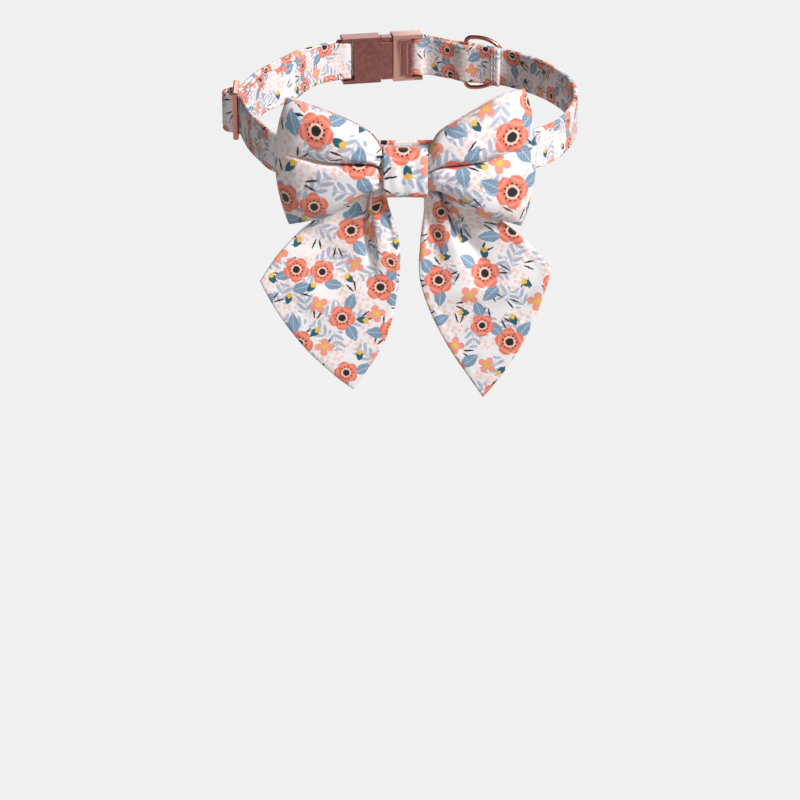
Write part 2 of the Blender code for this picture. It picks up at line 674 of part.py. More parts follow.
def tail_point(rows, side, down, across, face):
    """A point of a tail: down runs from the gathers to the slanted end, across from the outer edge
    to the inner one, and face is 1 on the front and -1 on the back."""
    outer_x, outer_z, inner_x, inner_z = smooth_table(rows, down)
    bulge = TAIL_END_ARC * down**4 * 4.0 * across * (1.0 - across)
    x = side * (TAIL_SPAN * (outer_x + (inner_x - outer_x) * across) + bulge * 0.75)
    z = -TAIL_DROP * (outer_z + (inner_z - outer_z) * across) - bulge * 0.66
    if abs(x) < TAIL_PARTING / 2:
        x = side * TAIL_PARTING / 2
    fold = 0.0
    for place, drift, width, height, reach in TAIL_FOLDS:
        middle = place - drift * down
        spread = width * (1.0 + 0.8 * down)
        fade = max(0.0, 1.0 - down / reach) ** 1.3
        fold += height * fade * math.exp(-(((across - middle) / spread) ** 2))
    room = (TAIL_BUNDLE - TAIL_WALL) / 2
    clear_of_knot = min(1.0, max(0.0, (-z - KNOT_HEIGHT / 2 - GAP) / FOLD_OPENING))
    depth = room + (TAIL_FOLD - room) * clear_of_knot
    forward = depth * max(-1.0, min(1.0, fold)) + TAIL_SWING * max(0.0, down - 0.15) ** 1.4
    middle = KNOT_BACK + GAP + TAIL_BUNDLE / 2
    y = middle + bow_sweep(x) * 0.5 * (1.0 - down) - forward - face * TAIL_WALL / 2
    return Vector((x, y, z - BOW_DROP))


def build_tail(name, rows, side, look):
    downs = [0.0, 0.05, 0.10, 0.15, 0.20, 0.27, 0.35, 0.44, 0.54, 0.66, 0.78, 0.89, 1.0]
    across = np.linspace(0.0, 1.0, 17)
    rings = []
    for down in downs:
        front = [tail_point(rows, side, down, place, 1) for place in across]
        back = [tail_point(rows, side, down, place, -1) for place in reversed(across)]
        rings.append(front + back)
    return sweep(name, rings, look)


def main():
    clear_scene()
    strap_cloth = material("strap_fabric", (0.86, 0.76, 0.74), 0.75)
    bow_cloth = material("bow_fabric", (0.90, 0.80, 0.78), 0.65)
    plate = material("rose_gold_plate", (0.62, 0.38, 0.34), 0.38, 1.0)
    wire = material("rose_gold_wire", (0.70, 0.45, 0.40), 0.25, 1.0)
    tape = material("tab_tape", (0.88, 0.86, 0.85), 0.85)
    build_strap(strap_cloth)
    build_buckle(plate)
    build_slider(wire)
    build_leash_ring(wire)
    build_bow_loops(bow_cloth)
    build_knot(bow_cloth)
    build_tab(tape)
    build_tail("tail_left", TAIL_LEFT_ROWS, -1, bow_cloth)
    build_tail("tail_right", TAIL_RIGHT_ROWS, 1, bow_cloth)


main()
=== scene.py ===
"""Looks of the pet bow tie collar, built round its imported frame: printed cotton on the strap and bow,
topstitching, a padded bow with gathered tails, and rose gold hardware.

Metres, +Z up, the bow faces -Y. The strap, bow and leash ring follow the same named sizes and tables
as the solids, at a finer resolution and with seams and puckers. The levels and crisp lines of the
pleats, and the sharp folds of the tails, are the scene's own."""

import math

import bmesh
import bpy
import numpy as np
from mathutils import Matrix, Vector, noise


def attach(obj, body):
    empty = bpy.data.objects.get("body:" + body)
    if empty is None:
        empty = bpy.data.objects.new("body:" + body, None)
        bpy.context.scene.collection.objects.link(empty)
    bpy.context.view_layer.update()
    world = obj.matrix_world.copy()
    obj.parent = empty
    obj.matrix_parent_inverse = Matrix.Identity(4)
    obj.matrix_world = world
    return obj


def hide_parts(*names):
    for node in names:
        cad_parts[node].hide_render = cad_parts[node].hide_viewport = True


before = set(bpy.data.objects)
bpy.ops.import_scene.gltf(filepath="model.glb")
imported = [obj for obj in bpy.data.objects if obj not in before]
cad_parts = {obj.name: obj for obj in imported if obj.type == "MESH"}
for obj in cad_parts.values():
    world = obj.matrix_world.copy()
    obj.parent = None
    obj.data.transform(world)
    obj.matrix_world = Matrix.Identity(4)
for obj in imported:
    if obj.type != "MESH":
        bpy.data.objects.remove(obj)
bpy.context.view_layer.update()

# Air between pieces that touch, and between layers of strap
GAP = 0.0003

# Ring of strap
RING_WIDTH = 0.168
RING_DEPTH = 0.161
STRAP_HEIGHT = 0.020
STRAP_THICK = 0.0024
STRAP_SLACK = 0.0045        # how far the inner layer bows away between slider and buckle
SEAM_BEARING = 52.0         # where the doubled strap ends, in degrees from +X
SEWN_LENGTH = 0.012         # strap end sewn back beyond the slider
WIRE_POCKET = 4.2           # degrees over which the inner layer clears the leash ring's bar

# Buckle and slider, as far as the strap's way round them needs
BUCKLE_BEARING = 99.0
BUCKLE_BAR_PITCH = 0.0395
BUCKLE_BAR_RADIUS = 0.0015
SLIDER_BEARING = 184.0
SLIDER_BAR = 0.0028
SLIDER_EDGE = 0.0006
SLIDER_EASE = 1.10

# Leash ring
RING_BEARING = 66.5
RING_WIRE_RADIUS = 0.0011
RING_RISE = 0.0136
RING_REACH = 0.0205
RING_CORNER = 0.0030
RING_SWING = 66.0

# Bow
BOW_SPAN = 0.124
BOW_HEIGHT = 0.066
BOW_DEPTH = 0.015
BOW_WALL = 0.0013
BOW_EDGE_ARC = 0.10
EDGE_CLOSING = 0.84
CROWN_POWER = 6
PLEAT_WIDTH = 0.12
CREASE_DEPTH = 0.0062       # of the pleat's crisp line, below the hollow it lies in
CREASE_ABOVE = 0.060        # its spread above and below the line, in shares of the half height
CREASE_BELOW = 0.016
CREASE_LIP = 0.0007         # how far the cloth above the line hangs over it
CREASE_END_LEFT = 0.97      # share of half the span where the line has run out
CREASE_END_RIGHT = 0.90
BOW_SWEEP = 0.009
BOW_DROP = 0.0008
KNOT_WIDTH = 0.0208
KNOT_HEIGHT = 0.0250
KNOT_DEPTH = 0.0125
KNOT_WALL = 0.0014
KNOT_SQUARE_UP = 0.55       # powers of the knot's section: 1 is an ellipse, less is squarer
KNOT_SQUARE_DEEP = 0.72
TAB_WIDTH = 0.010
TAB_HEIGHT = 0.013
TAB_THICK = 0.0010

# Tails
TAIL_SPAN = 0.070
TAIL_DROP = 0.114
TAIL_WALL = 0.0016
TAIL_BUNDLE = 0.0046
TAIL_FOLD = 0.0060
DEEPEST_FOLD = 1.25         # shares of the fold depth, backwards and forwards
HIGHEST_FOLD = 1.2
FOLD_OPENING = 0.0045       # height over which the folds rise, below the knot and the loops' edges
FOLD_MARGIN = 0.003         # how far they reach up behind the loops' lower edges
TAIL_END_ARC = 0.0050
TAIL_SWING = 0.006
TAIL_PARTING = 0.0006
FOLD_LEAN = 0.75            # how far the raised inner fold leans over the valley, per metre of height
FOLD_STEP = 0.14            # from the valley's middle line to the fold that leans over it, as a share across

# Settling of the strap from buckle and slider onto the ring's line, in degrees of bearing
BUCKLE_SETTLE = 11.0
SLIDER_SETTLE = 8.5
SLIDER_SETTLE_INNER = 13.6
STRAIGHT_LEAD = 1.3         # how far the strap runs straight to a buckle's bar, in turning radii

# Outer fold of the loops
FOLD_START = 0.80           # share of half the span where the loops start to round off
LEAST_WALL = 0.35           # least distance of a face from the loop's middle plane, in walls

# Fine relief, in metres
STRAP_STEP = 0.0013         # between the strap's sections
STITCH_GROOVE = 0.00022
STRAP_PUCKER = 0.00009
STRAP_SOFTNESS = 0.00005
LEAST_HALF = 0.00004        # half the thickness at the strap's very edge
LOOP_SOFTNESS = 0.0004
KNOT_HEM = 0.00045
KNOT_WAVE = 0.00035
KNOT_RIB = 0.00025
TAIL_PUCKER = 0.00035
TAIL_SOFTNESS = 0.0005
TAIL_ROUNDING = 0.0014
PLATE_ROUNDING = 0.00014
SLIDER_ROUNDING = 0.0002

# Stitches
STITCH_PITCH = 0.0031
STITCH_LENGTH = 0.0024
THREAD_RADIUS = 0.00021
STITCH_INSET = 0.0021       # from the strap's edge to the row of stitches

# Line of the ring at the strap's mid-thickness, seen from above
RING_ROWS = [
    # across, deep: shares of half the ring's width and of half its depth, clockwise from the front
    (0.00, -1.00),
    (-0.38, -0.985),
    (-0.70, -0.915),
    (-0.845, -0.640),
    (-0.930, -0.370),
    (-0.968, -0.070),
    (-0.950, 0.130),
    (-0.885, 0.345),
    (-0.765, 0.580),
    (-0.630, 0.800),
    (-0.400, 0.935),
    (-0.160, 1.000),
    (0.080, 1.035),
    (0.300, 0.972),
    (0.535, 0.838),
    (0.715, 0.695),
    (0.885, 0.450),
    (0.985, 0.165),
    (1.005, -0.100),
    (0.930, -0.480),
    (0.790, -0.740),
    (0.560, -0.890),
    (0.280, -0.975),
]

# Loops of the bow from the knot to the outer fold
LOOP_ROWS = [
    # across: share of half the span; tops and bottoms: shares of the height, from the knot's middle;
    # front, back: shares of the depth; pleat: its depth as a share of the depth, and its level on
    # each side, from -1 at the bottom to 1 at the top
    # across, top_left, low_left, top_right, low_right, front, back, pleat, pleat_left, pleat_right
    (0.000, 0.138, -0.130, 0.138, -0.130, 0.235, 0.200, 0.060, -0.02, -0.12),
    (0.172, 0.152, -0.125, 0.152, -0.125, 0.245, 0.200, 0.080, -0.02, -0.12),
    (0.230, 0.250, -0.135, 0.260, -0.130, 0.430, 0.250, 0.200, -0.01, -0.15),
    (0.330, 0.325, -0.180, 0.345, -0.170, 0.560, 0.300, 0.220, 0.00, -0.12),
    (0.450, 0.380, -0.250, 0.405, -0.240, 0.620, 0.340, 0.200, 0.03, -0.05),
    (0.620, 0.435, -0.345, 0.490, -0.355, 0.620, 0.380, 0.150, 0.08, 0.05),
    (0.800, 0.480, -0.395, 0.560, -0.395, 0.560, 0.380, 0.080, 0.14, 0.12),
    (1.000, 0.520, -0.440, 0.585, -0.450, 0.400, 0.330, 0.020, 0.18, 0.16),
]
LOOP_CREASES = [
    # level: height at the knot, from -1 to 1; climb: change towards the outer fold; width: in level;
    # depth: metres, inwards positive; reach: share of half the span where it ends
    # level, climb, width, depth, reach
    (0.62, 0.10, 0.10, 0.0009, 0.62),
    (0.30, 0.30, 0.08, 0.0008, 0.48),
    (0.05, 0.05, 0.07, 0.0006, 0.45),
    (-0.42, -0.14, 0.08, 0.0008, 0.50),
    (-0.70, -0.05, 0.09, 0.0009, 0.62),
]

# Edges of the tails from the gathers down
TAIL_LEFT_ROWS = [
    # down: share of the way; the rest are shares of the span and of the drop, from the knot's middle
    # down, outer_across, outer_drop, inner_across, inner_drop
    (0.00, 0.130, -0.020, 0.010, -0.030),
    (0.10, 0.185, 0.045, 0.135, 0.082),
    (0.20, 0.275, 0.090, 0.122, 0.155),
    (0.35, 0.450, 0.160, 0.047, 0.320),
    (0.55, 0.650, 0.250, 0.047, 0.520),
    (0.80, 0.870, 0.385, 0.150, 0.790),
    (1.00, 1.000, 0.500, 0.360, 1.000),
]
TAIL_RIGHT_ROWS = [
    # down, outer_across, outer_drop, inner_across, inner_drop
    (0.00, 0.130, -0.020, 0.010, -0.030),
    (0.10, 0.185, 0.045, 0.105, 0.080),
    (0.20, 0.280, 0.090, 0.125, 0.165),
    (0.35, 0.460, 0.160, 0.100, 0.330),
    (0.55, 0.670, 0.250, 0.103, 0.520),
    (0.80, 0.880, 0.360, 0.290, 0.800),
    (1.00, 1.000, 0.445, 0.540, 1.035),
]
TAIL_LEFT_FOLDS = [
    # across: share from the outer edge; drift: how far it moves towards the outer edge on its way
    # down; width: share; height: share of the fold depth, forwards positive; reach: share of the way
    # across, drift, width, height, reach
    (0.08, 0.00, 0.12, 1.10, 0.60),
    (0.28, -0.70, 0.050, -4.20, 0.62),
    (0.46, -0.70, 0.09, 1.30, 0.66),
    (0.95, 0.00, 0.06, 0.40, 0.70),
]
TAIL_RIGHT_FOLDS = [
    # across, drift, width, height, reach
    (0.08, 0.00, 0.12, 1.10, 0.60),
    (0.35, -0.10, 0.060, -2.60, 0.80),
    (0.57, 0.00, 0.10, 1.20, 0.85),
    (0.77, 0.02, 0.06, -0.45, 0.60),
    (0.93, 0.00, 0.06, 0.50, 0.70),
]
TAIL_WAVES = [
    # Soft hollows and swells of the hanging cloth. across, down: their middle, as shares; turn:
    # degrees; long, wide: half sizes in metres; height: metres, forwards positive
    # side, across, down, turn, long, wide, height
    (-1, 0.45, 0.62, -35.0, 0.022, 0.006, -0.0012),
    (-1, 0.75, 0.55, 60.0, 0.020, 0.006, 0.0010),
    (-1, 0.30, 0.85, -50.0, 0.018, 0.007, 0.0010),
    (1, 0.40, 0.60, 10.0, 0.024, 0.006, -0.0013),
    (1, 0.55, 0.74, 5.0, 0.022, 0.005, 0.0012),
    (1, 0.25, 0.82, 60.0, 0.018, 0.007, 0.0011),
]

# The print. All motifs lie on a tile that repeats; sizes and places in millimetres
TILE = (64.0, 52.0)
BLOSSOMS = [
    # five petals with a dark eye
    # across, up, turn, radius
    (8.0, 9.5, 10.0, 5.8),
    (30.5, 5.5, 60.0, 4.9),
    (51.0, 13.0, 25.0, 6.0),
    (19.5, 26.5, 80.0, 5.4),
    (41.0, 29.5, 40.0, 5.9),
    (4.5, 41.0, 55.0, 5.0),
    (58.5, 38.0, 5.0, 5.2),
    (28.5, 44.5, 30.0, 6.0),
]
STARS = [
    # four petals with a golden heart
    # across, up, turn, radius
    (18.0, 12.0, 20.0, 3.9),
    (40.5, 15.5, 65.0, 4.2),
    (31.5, 33.5, 35.0, 3.8),
    (8.5, 28.0, 50.0, 3.9),
    (49.0, 41.5, 15.0, 4.2),
    (15.5, 49.0, 80.0, 3.7),
]
LEAVES = [
    # across, up, turn, half_length
    (2.5, 16.5, 120.0, 4.4),
    (14.5, 4.0, -30.0, 4.4),
    (36.5, 9.8, 45.0, 4.0),
    (44.5, 8.0, 160.0, 4.4),
    (53.0, 21.5, 75.0, 4.3),
    (25.8, 22.0, -40.0, 4.2),
    (20.0, 34.0, 95.0, 4.1),
    (34.5, 26.0, 200.0, 4.2),
    (44.5, 36.5, 60.0, 4.3),
    (63.5, 32.0, 40.0, 4.1),
    (54.5, 33.5, 215.0, 3.6),
    (35.8, 41.5, -15.0, 4.4),
    (31.0, 51.5, 250.0, 4.2),
    (10.8, 38.0, 15.0, 4.0),
]
BUDS = [
    # across, up, turn, half_length
    (12.0, 16.5, 60.0, 2.6),
    (32.5, 14.5, 110.0, 2.5),
    (58.5, 16.0, 20.0, 2.7),
    (60.5, 25.5, 100.0, 2.5),
    (27.5, 28.8, 15.0, 2.6),
    (3.0, 33.6, 70.0, 2.5),
    (51.0, 31.0, 130.0, 2.5),
    (38.0, 47.0, 45.0, 2.7),
    (54.5, 48.5, 80.0, 2.6),
    (15.5, 42.8, 160.0, 2.4),
]

# Print colours and other cloth colours, as sRGB from 0 to 255
GROUND = (248, 242, 243)
CORAL = (238, 112, 88)
CORAL_LIGHT = (250, 172, 148)
SALMON = (246, 150, 130)
EYE = (34, 26, 30)
EYE_RING = (252, 206, 186)
GOLD = (243, 196, 84)
LEAF_BLUE = (142, 168, 192)
LEAF_DEEP = (76, 110, 142)
SPRIG = (178, 188, 208)
TEAL = (38, 96, 112)
DOT_PINK = (251, 214, 204)
MIDRIB = (196, 212, 228)
PETAL_GAP = (214, 84, 66)
TAPE = (236, 232, 230)
THREAD = (246, 238, 236)

# Metal: plain and dark tone of the satin plate and of the polished wire, and the painted highlight on the
# plate's edges
PLATE = (168, 114, 107)
PLATE_DARK = (128, 80, 76)
WIRE = (198, 130, 116)
WIRE_DARK = (164, 98, 88)
PLATE_EDGE_HIGHLIGHT = (244, 196, 178)

# Motifs scattered between the charted ones, one in a cell
SCATTER = [
    # shift of the cells, their size in millimetres, colour, share of the cells that have one
    (11.0, 10.5, SPRIG, 0.62),
    (57.0, 9.0, EYE, 0.55),
]

# Where each piece is cut from the printed cloth: turn in degrees, then place in metres
LOOPS_CUT = (38.0, 0.012, 0.020)
KNOT_CUT = (-20.0, 0.0075, -0.0015)
TAIL_LEFT_CUT = (24.0, 0.02, -0.01)
TAIL_RIGHT_CUT = (-67.0, 0.02, 0.01)

# Size of the print on each piece, against the tile
STRAP_PRINT = 1.00
BOW_PRINT = 1.50
TAIL_PRINT = 1.20

# Weave and fibres
WEAVE_PITCH = 0.00042
STRAP_WEAVE_DEPTH = 0.00004
BOW_WEAVE_DEPTH = 0.00003
FIBRE_DEPTH = 0.0001

# Camera: fitted to the photograph
CAMERA_LIFT = 18.5          # degrees above the ring's plane
CAMERA_DISTANCE = 1.5
PIXELS_PER_METRE = 2000.0   # at the origin
FRAME_PIXELS = 800.0
ORIGIN_PIXEL = (406.0, 104.8)

# Studio
FLOOR_LEVEL = -0.42
FLOOR_GLOW = 0.875
SKY_GLOW = 0.16
LIGHTS = [
    # name, place, level it aims at over the origin, size, power in watts, whether metal mirrors it
    ("key", (1.13, -0.88, 1.09), -0.03, 0.36, 37.0, True),
    ("fill", (-0.10, -1.65, -0.24), -0.03, 0.30, 5.5, False),
    ("back", (0.15, 1.60, 0.56), 0.0, 1.00, 6.0, True),
    ("rear", (-0.25, 1.75, 0.12), 0.0, 0.70, 13.0, False),
]


def linear(colour):
    """sRGB from 0 to 255 as linear RGBA."""
    shares = [c / 255.0 for c in colour]
    return (*[c / 12.92 if c <= 0.04045 else ((c + 0.055) / 1.055) ** 2.4 for c in shares], 1.0)


# Node building


class Nodes:
    """Short calls for building a shader's nodes. Values may be numbers, vectors or sockets."""

    def __init__(self, tree):
        self.tree = tree

    def make(self, kind, inputs=(), **settings):
        node = self.tree.nodes.new(kind)
        for name, value in settings.items():
            setattr(node, name, value)
        for place, value in enumerate(inputs):
            self.put(node.inputs[place], value)
        return node

    def put(self, socket, value):
        if value is None:
            return
        if isinstance(value, bpy.types.NodeSocket):
            self.tree.links.new(value, socket)
        else:
            socket.default_value = value

    def math(self, operation, *values, clamp=False):
        return self.make("ShaderNodeMath", values, operation=operation, use_clamp=clamp).outputs[0]

    def scaled(self, value, factor, added, clamp=False):
        return self.math("MULTIPLY_ADD", value, factor, added, clamp=clamp)

    def times(self, value, factor):
        return self.math("MULTIPLY", value, factor)

    def absolute(self, value):
        return self.math("ABSOLUTE", value)

    def vector(self, operation, *values):
        node = self.make("ShaderNodeVectorMath", values, operation=operation)
        return node.outputs["Value"] if operation in ("LENGTH", "DOT_PRODUCT") else node.outputs[0]

    def split(self, vector):
        node = self.make("ShaderNodeSeparateXYZ", (vector,))
        return node.outputs[0], node.outputs[1]

    def below(self, value, limit, softness):
        """1 where value is under limit, with a soft edge."""
        room = self.math("SUBTRACT", limit, value)
        return self.scaled(room, 1.0 / softness, 0.5, clamp=True)

    def blend(self, factor, first, second):
        """Colours that are sockets, or sRGB from 0 to 255."""
        node = self.make("ShaderNodeMix", data_type="RGBA")
        self.put(node.inputs[0], factor)
        for place, colour in ((6, first), (7, second)):
            self.put(node.inputs[place], linear(colour) if isinstance(colour, tuple) else colour)
        return node.outputs[2]

    def relief(self, shader, height, strength, depth):
        bump = self.make("ShaderNodeBump")
        bump.inputs["Strength"].default_value = strength
        bump.inputs["Distance"].default_value = depth
        self.put(bump.inputs["Height"], height)
        self.put(shader.inputs["Normal"], bump.outputs[0])

    def noise(self, vector, scale, detail=2.0, roughness=0.5):
        node = self.make("ShaderNodeTexNoise", noise_dimensions="3D")
        self.put(node.inputs["Vector"], vector)
        self.put(node.inputs["Scale"], scale)
        self.put(node.inputs["Detail"], detail)
        self.put(node.inputs["Roughness"], roughness)
        return node.outputs["Fac"]

    def nearest(self, place, chart, tile):
        """Coordinates inside the nearest motif of a chart, turned its way and divided by its size."""
        best = length = None
        for across, up, turn, size in chart:
            step = self.vector("SUBTRACT", place, (across, up, 0.0))
            half = (tile[0] / 2, tile[1] / 2, 1.0)
            step = self.make("ShaderNodeVectorMath", (step, half, tuple(-h for h in half)),
                             operation="WRAP").outputs[0]
            local = self.make("ShaderNodeMapping", (step, None, None, None), vector_type="TEXTURE")
            local.inputs["Rotation"].default_value = (0.0, 0.0, math.radians(turn))
            local.inputs["Scale"].default_value = (size, size, 1.0)
            local = local.outputs[0]
            reach = self.vector("LENGTH", local)
            if best is None:
                best, length = local, reach
                continue
            closer = self.math("LESS_THAN", reach, length)
            mix = self.make("ShaderNodeMix", data_type="VECTOR")
            self.put(mix.inputs[0], closer)
            self.put(mix.inputs[4], best)
            self.put(mix.inputs[5], local)
            best = mix.outputs[1]
            length = self.math("MINIMUM", reach, length)
        return best


def petals(n, local, count, low, high, sharpness):
    """Distance from the middle, rim of a blossom with that many petals, and closeness to a petal's
    middle line."""
    x, y = n.split(local)
    reach = n.vector("LENGTH", local)
    angle = n.math("ARCTAN2", y, x)
    wave = n.absolute(n.math("COSINE", n.times(angle, count / 2)))
    rim = n.scaled(n.math("POWER", wave, sharpness), high - low, low)
    return reach, rim, wave, angle


def flower_print(n, scale):
    """Colour of the printed cloth at the surface's flat-cut coordinates."""
    uv = n.make("ShaderNodeUVMap", uv_map="flat_cut").outputs[0]
    place = n.vector("MULTIPLY", uv, (1000.0 / scale,) * 3)
    wobble = n.make("ShaderNodeTexNoise", noise_dimensions="2D")
    n.put(wobble.inputs["Vector"], place)
    wobble.inputs["Scale"].default_value = 0.9
    wobble.inputs["Detail"].default_value = 2.0
    shift = n.vector("MULTIPLY_ADD", wobble.outputs["Color"], (0.55, 0.55, 0.0), (-0.27, -0.27, 0.0))
    place = n.vector("ADD", place, shift)
    streaks = n.noise(place, 3.0, 3.0, 0.6)

    # Pale dots in patches
    dots = n.make("ShaderNodeTexVoronoi", voronoi_dimensions="2D")
    n.put(dots.inputs["Vector"], place)
    dots.inputs["Scale"].default_value = 0.43
    dots.inputs["Randomness"].default_value = 0.55
    patch = n.math("GREATER_THAN", n.noise(place, 0.075, 0.0), 0.46)
    dot = n.below(dots.outputs["Distance"], 0.33, 0.08)
    colour = n.blend(n.times(dot, patch), GROUND, DOT_PINK)

    # Grey-blue sprigs and dark dashes, scattered
    for salt, size, tint, keep in SCATTER:
        moved = n.vector("ADD", place, (salt, salt / 2, 0.0))
        cells = n.make("ShaderNodeTexVoronoi", voronoi_dimensions="2D")
        n.put(cells.inputs["Vector"], moved)
        cells.inputs["Scale"].default_value = 1.0 / size
        cells.inputs["Randomness"].default_value = 0.55
        luck = n.make("ShaderNodeSeparateColor", (cells.outputs["Color"],))
        step = n.vector("SUBTRACT", moved, cells.outputs["Position"])
        step = n.vector("MULTIPLY", step, (1.0 / size,) * 3)
        turned = n.make("ShaderNodeVectorRotate", rotation_type="Z_AXIS")
        n.put(turned.inputs["Vector"], step)
        n.put(turned.inputs["Angle"], n.times(luck.outputs[0], 6.28))
        x, y = n.split(turned.outputs[0])
        if tint == SPRIG:
            # A stem with slanting leaflets on both sides
            side = n.absolute(y)
            along = n.scaled(side, -0.9, x)
            repeat = n.math("SUBTRACT", n.math("FRACT", n.scaled(along, 3.4, 0.5)), 0.5)
            out = n.scaled(side, 6.2, -1.05)
            round_leaf = n.scaled(out, out, n.math("POWER", n.times(repeat, 3.1), 2.0))
            leaflets = n.times(n.below(round_leaf, 1.0, 0.5), n.below(n.absolute(x), 0.40, 0.03))
            stem = n.times(n.below(side, 0.014, 0.02), n.below(n.absolute(x), 0.42, 0.02))
            mask = n.math("MAXIMUM", leaflets, stem)
        else:
            # Two short strokes, slightly spread
            side = n.absolute(y)
            spread = n.scaled(x, 0.30, 0.13)
            away = n.absolute(n.math("SUBTRACT", side, spread))
            taper = n.scaled(n.absolute(x), -0.11, 0.046)
            mask = n.times(n.below(away, taper, 0.02), n.below(n.absolute(x), 0.22, 0.02))
        chosen = n.math("LESS_THAN", luck.outputs[1], keep)
        colour = n.blend(n.times(mask, chosen), colour, tint)

    # Leaves with a midrib and slanting veins
    local = n.nearest(place, LEAVES, TILE)
    x, y = n.split(local)
    side = n.absolute(y)
    width = n.times(n.math("SUBTRACT", 1.0, n.times(x, x)),
                   n.scaled(x, -0.16, 0.55))
    leaf = n.below(side, width, 0.05)
    veins = n.math("SINE", n.times(n.math("SUBTRACT", n.times(side, 1.3), x), 17.0))
    midrib = n.below(side, 0.045, 0.05)
    deep = n.scaled(veins, 0.25, n.scaled(streaks, 0.9, -0.22), clamp=True)
    leaf_colour = n.blend(deep, LEAF_BLUE, LEAF_DEEP)
    leaf_colour = n.blend(n.times(midrib, 0.7), leaf_colour, MIDRIB)
    colour = n.blend(leaf, colour, leaf_colour)

    # Golden berries in a teal calyx
    local = n.nearest(place, BUDS, TILE)
    x, y = n.split(local)
    side = n.absolute(y)
    berry = n.below(n.vector("LENGTH", n.vector("SUBTRACT", local, (0.38, 0.0, 0.0))), 0.55, 0.10)
    calyx_width = n.times(n.math("SUBTRACT", 1.0, n.times(x, x)), 0.56)
    inside = n.math("SUBTRACT", n.times(side, 0.9), 0.02)
    calyx = n.times(n.below(side, calyx_width, 0.08), n.below(x, inside, 0.08))
    colour = n.blend(berry, colour, GOLD)
    colour = n.blend(calyx, colour, TEAL)

    # Four-petal stars with a golden heart
    local = n.nearest(place, STARS, TILE)
    reach, rim, wave, angle = petals(n, local, 4, 0.42, 1.0, 0.8)
    star = n.below(reach, rim, 0.07)
    shade = n.scaled(streaks, 0.8, n.times(reach, 0.3), clamp=True)
    star_colour = n.blend(shade, CORAL_LIGHT, SALMON)
    star_colour = n.blend(n.below(reach, n.scaled(wave, 0.16, 0.20), 0.06), star_colour, GOLD)
    colour = n.blend(star, colour, star_colour)

    # Five-petal blossoms: coral, light strokes along the petals, a dark eye with stamens
    local = n.nearest(place, BLOSSOMS, TILE)
    reach, rim, wave, angle = petals(n, local, 5, 0.74, 1.0, 0.55)
    blossom = n.below(reach, rim, 0.06)
    gap_line = n.times(n.below(wave, 0.16, 0.12), n.math("GREATER_THAN", reach, 0.42))
    ripple = n.math("SINE", n.scaled(reach, 17.0, n.times(wave, 2.2)))
    tone = n.scaled(ripple, 0.30, n.scaled(streaks, 0.9, -0.08), clamp=True)
    petal = n.blend(tone, CORAL, CORAL_LIGHT)
    petal = n.blend(n.times(gap_line, 0.75), petal, PETAL_GAP)
    stamens = n.times(n.below(n.absolute(n.math("SUBTRACT", reach, 0.47)), 0.05, 0.04),
                     n.math("GREATER_THAN", n.math("COSINE", n.times(angle, 11.0)), 0.2))
    petal = n.blend(n.below(reach, 0.40, 0.06), petal, EYE_RING)
    petal = n.blend(stamens, petal, EYE)
    petal = n.blend(n.below(reach, 0.28, 0.05), petal, EYE)
    colour = n.blend(blossom, colour, petal)
    return colour, uv


def new_look(name):
    """A new material, its nodes and its shader."""
    made = bpy.data.materials.new(name)
    made.use_nodes = True
    return made, Nodes(made.node_tree), made.node_tree.nodes["Principled BSDF"]


def printed_cloth(name, scale, roughness, sheen, weave_depth):
    made, n, shader = new_look(name)
    colour, uv = flower_print(n, scale)
    mottle = n.noise(uv, 240.0, 3.0)
    tint = n.scaled(mottle, 0.10, 0.95)
    toned = n.make("ShaderNodeHueSaturation")
    n.put(toned.inputs["Color"], colour)
    n.put(toned.inputs["Value"], tint)
    n.put(shader.inputs["Base Color"], toned.outputs[0])
    n.put(shader.inputs["Roughness"], n.scaled(mottle, 0.14, roughness - 0.07))
    shader.inputs["Specular IOR Level"].default_value = 0.35
    shader.inputs["Sheen Weight"].default_value = sheen
    shader.inputs["Sheen Roughness"].default_value = 0.45
    x, y = n.split(uv)
    warp, weft = (n.math("SINE", n.times(way, 2 * math.pi / WEAVE_PITCH)) for way in (x, y))
    weave = n.scaled(warp, weft, n.times(mottle, 3.0))
    n.relief(shader, weave, 0.5, weave_depth)
    return made


def plain_cloth(name, colour, roughness):
    made, n, shader = new_look(name)
    place = n.make("ShaderNodeTexCoord").outputs["Object"]
    fibre = n.noise(place, 2600.0, 3.0)
    n.put(shader.inputs["Base Color"], n.blend(fibre, tuple(c * 0.9 for c in colour), colour))
    shader.inputs["Roughness"].default_value = roughness
    shader.inputs["Sheen Weight"].default_value = 0.3
    n.relief(shader, fibre, 0.6, FIBRE_DEPTH)
    return made


def plated_metal(name, colour, dark, roughness, grain, grain_depth, mottling=1.6, edge_highlight_share=0.6):
    """Rose gold plate: a mottled tone, fine grain and edges made brighter by a painted highlight."""
    made, n, shader = new_look(name)
    place = n.make("ShaderNodeTexCoord").outputs["Object"]
    mottle = n.noise(place, 420.0, 4.0, 0.6)
    fine = n.noise(place, grain, 2.0)
    patch = n.scaled(mottle, mottling, 0.5 - mottling / 2, clamp=True)
    base = n.blend(patch, dark, colour)
    # Painted highlight: a pale colour laid on sharp edges by their pointiness, standing in for light caught
    # there
    edge_highlight = n.scaled(n.make("ShaderNodeNewGeometry").outputs["Pointiness"], 9.0, -4.75, clamp=True)
    base = n.blend(n.times(edge_highlight, edge_highlight_share), base, PLATE_EDGE_HIGHLIGHT)
    n.put(shader.inputs["Base Color"], base)
    shader.inputs["Metallic"].default_value = 1.0
    n.put(shader.inputs["Roughness"], n.scaled(mottle, mottling * 0.14, roughness - mottling * 0.07))
    n.relief(shader, fine, 0.5, grain_depth)
    return made


# Meshes


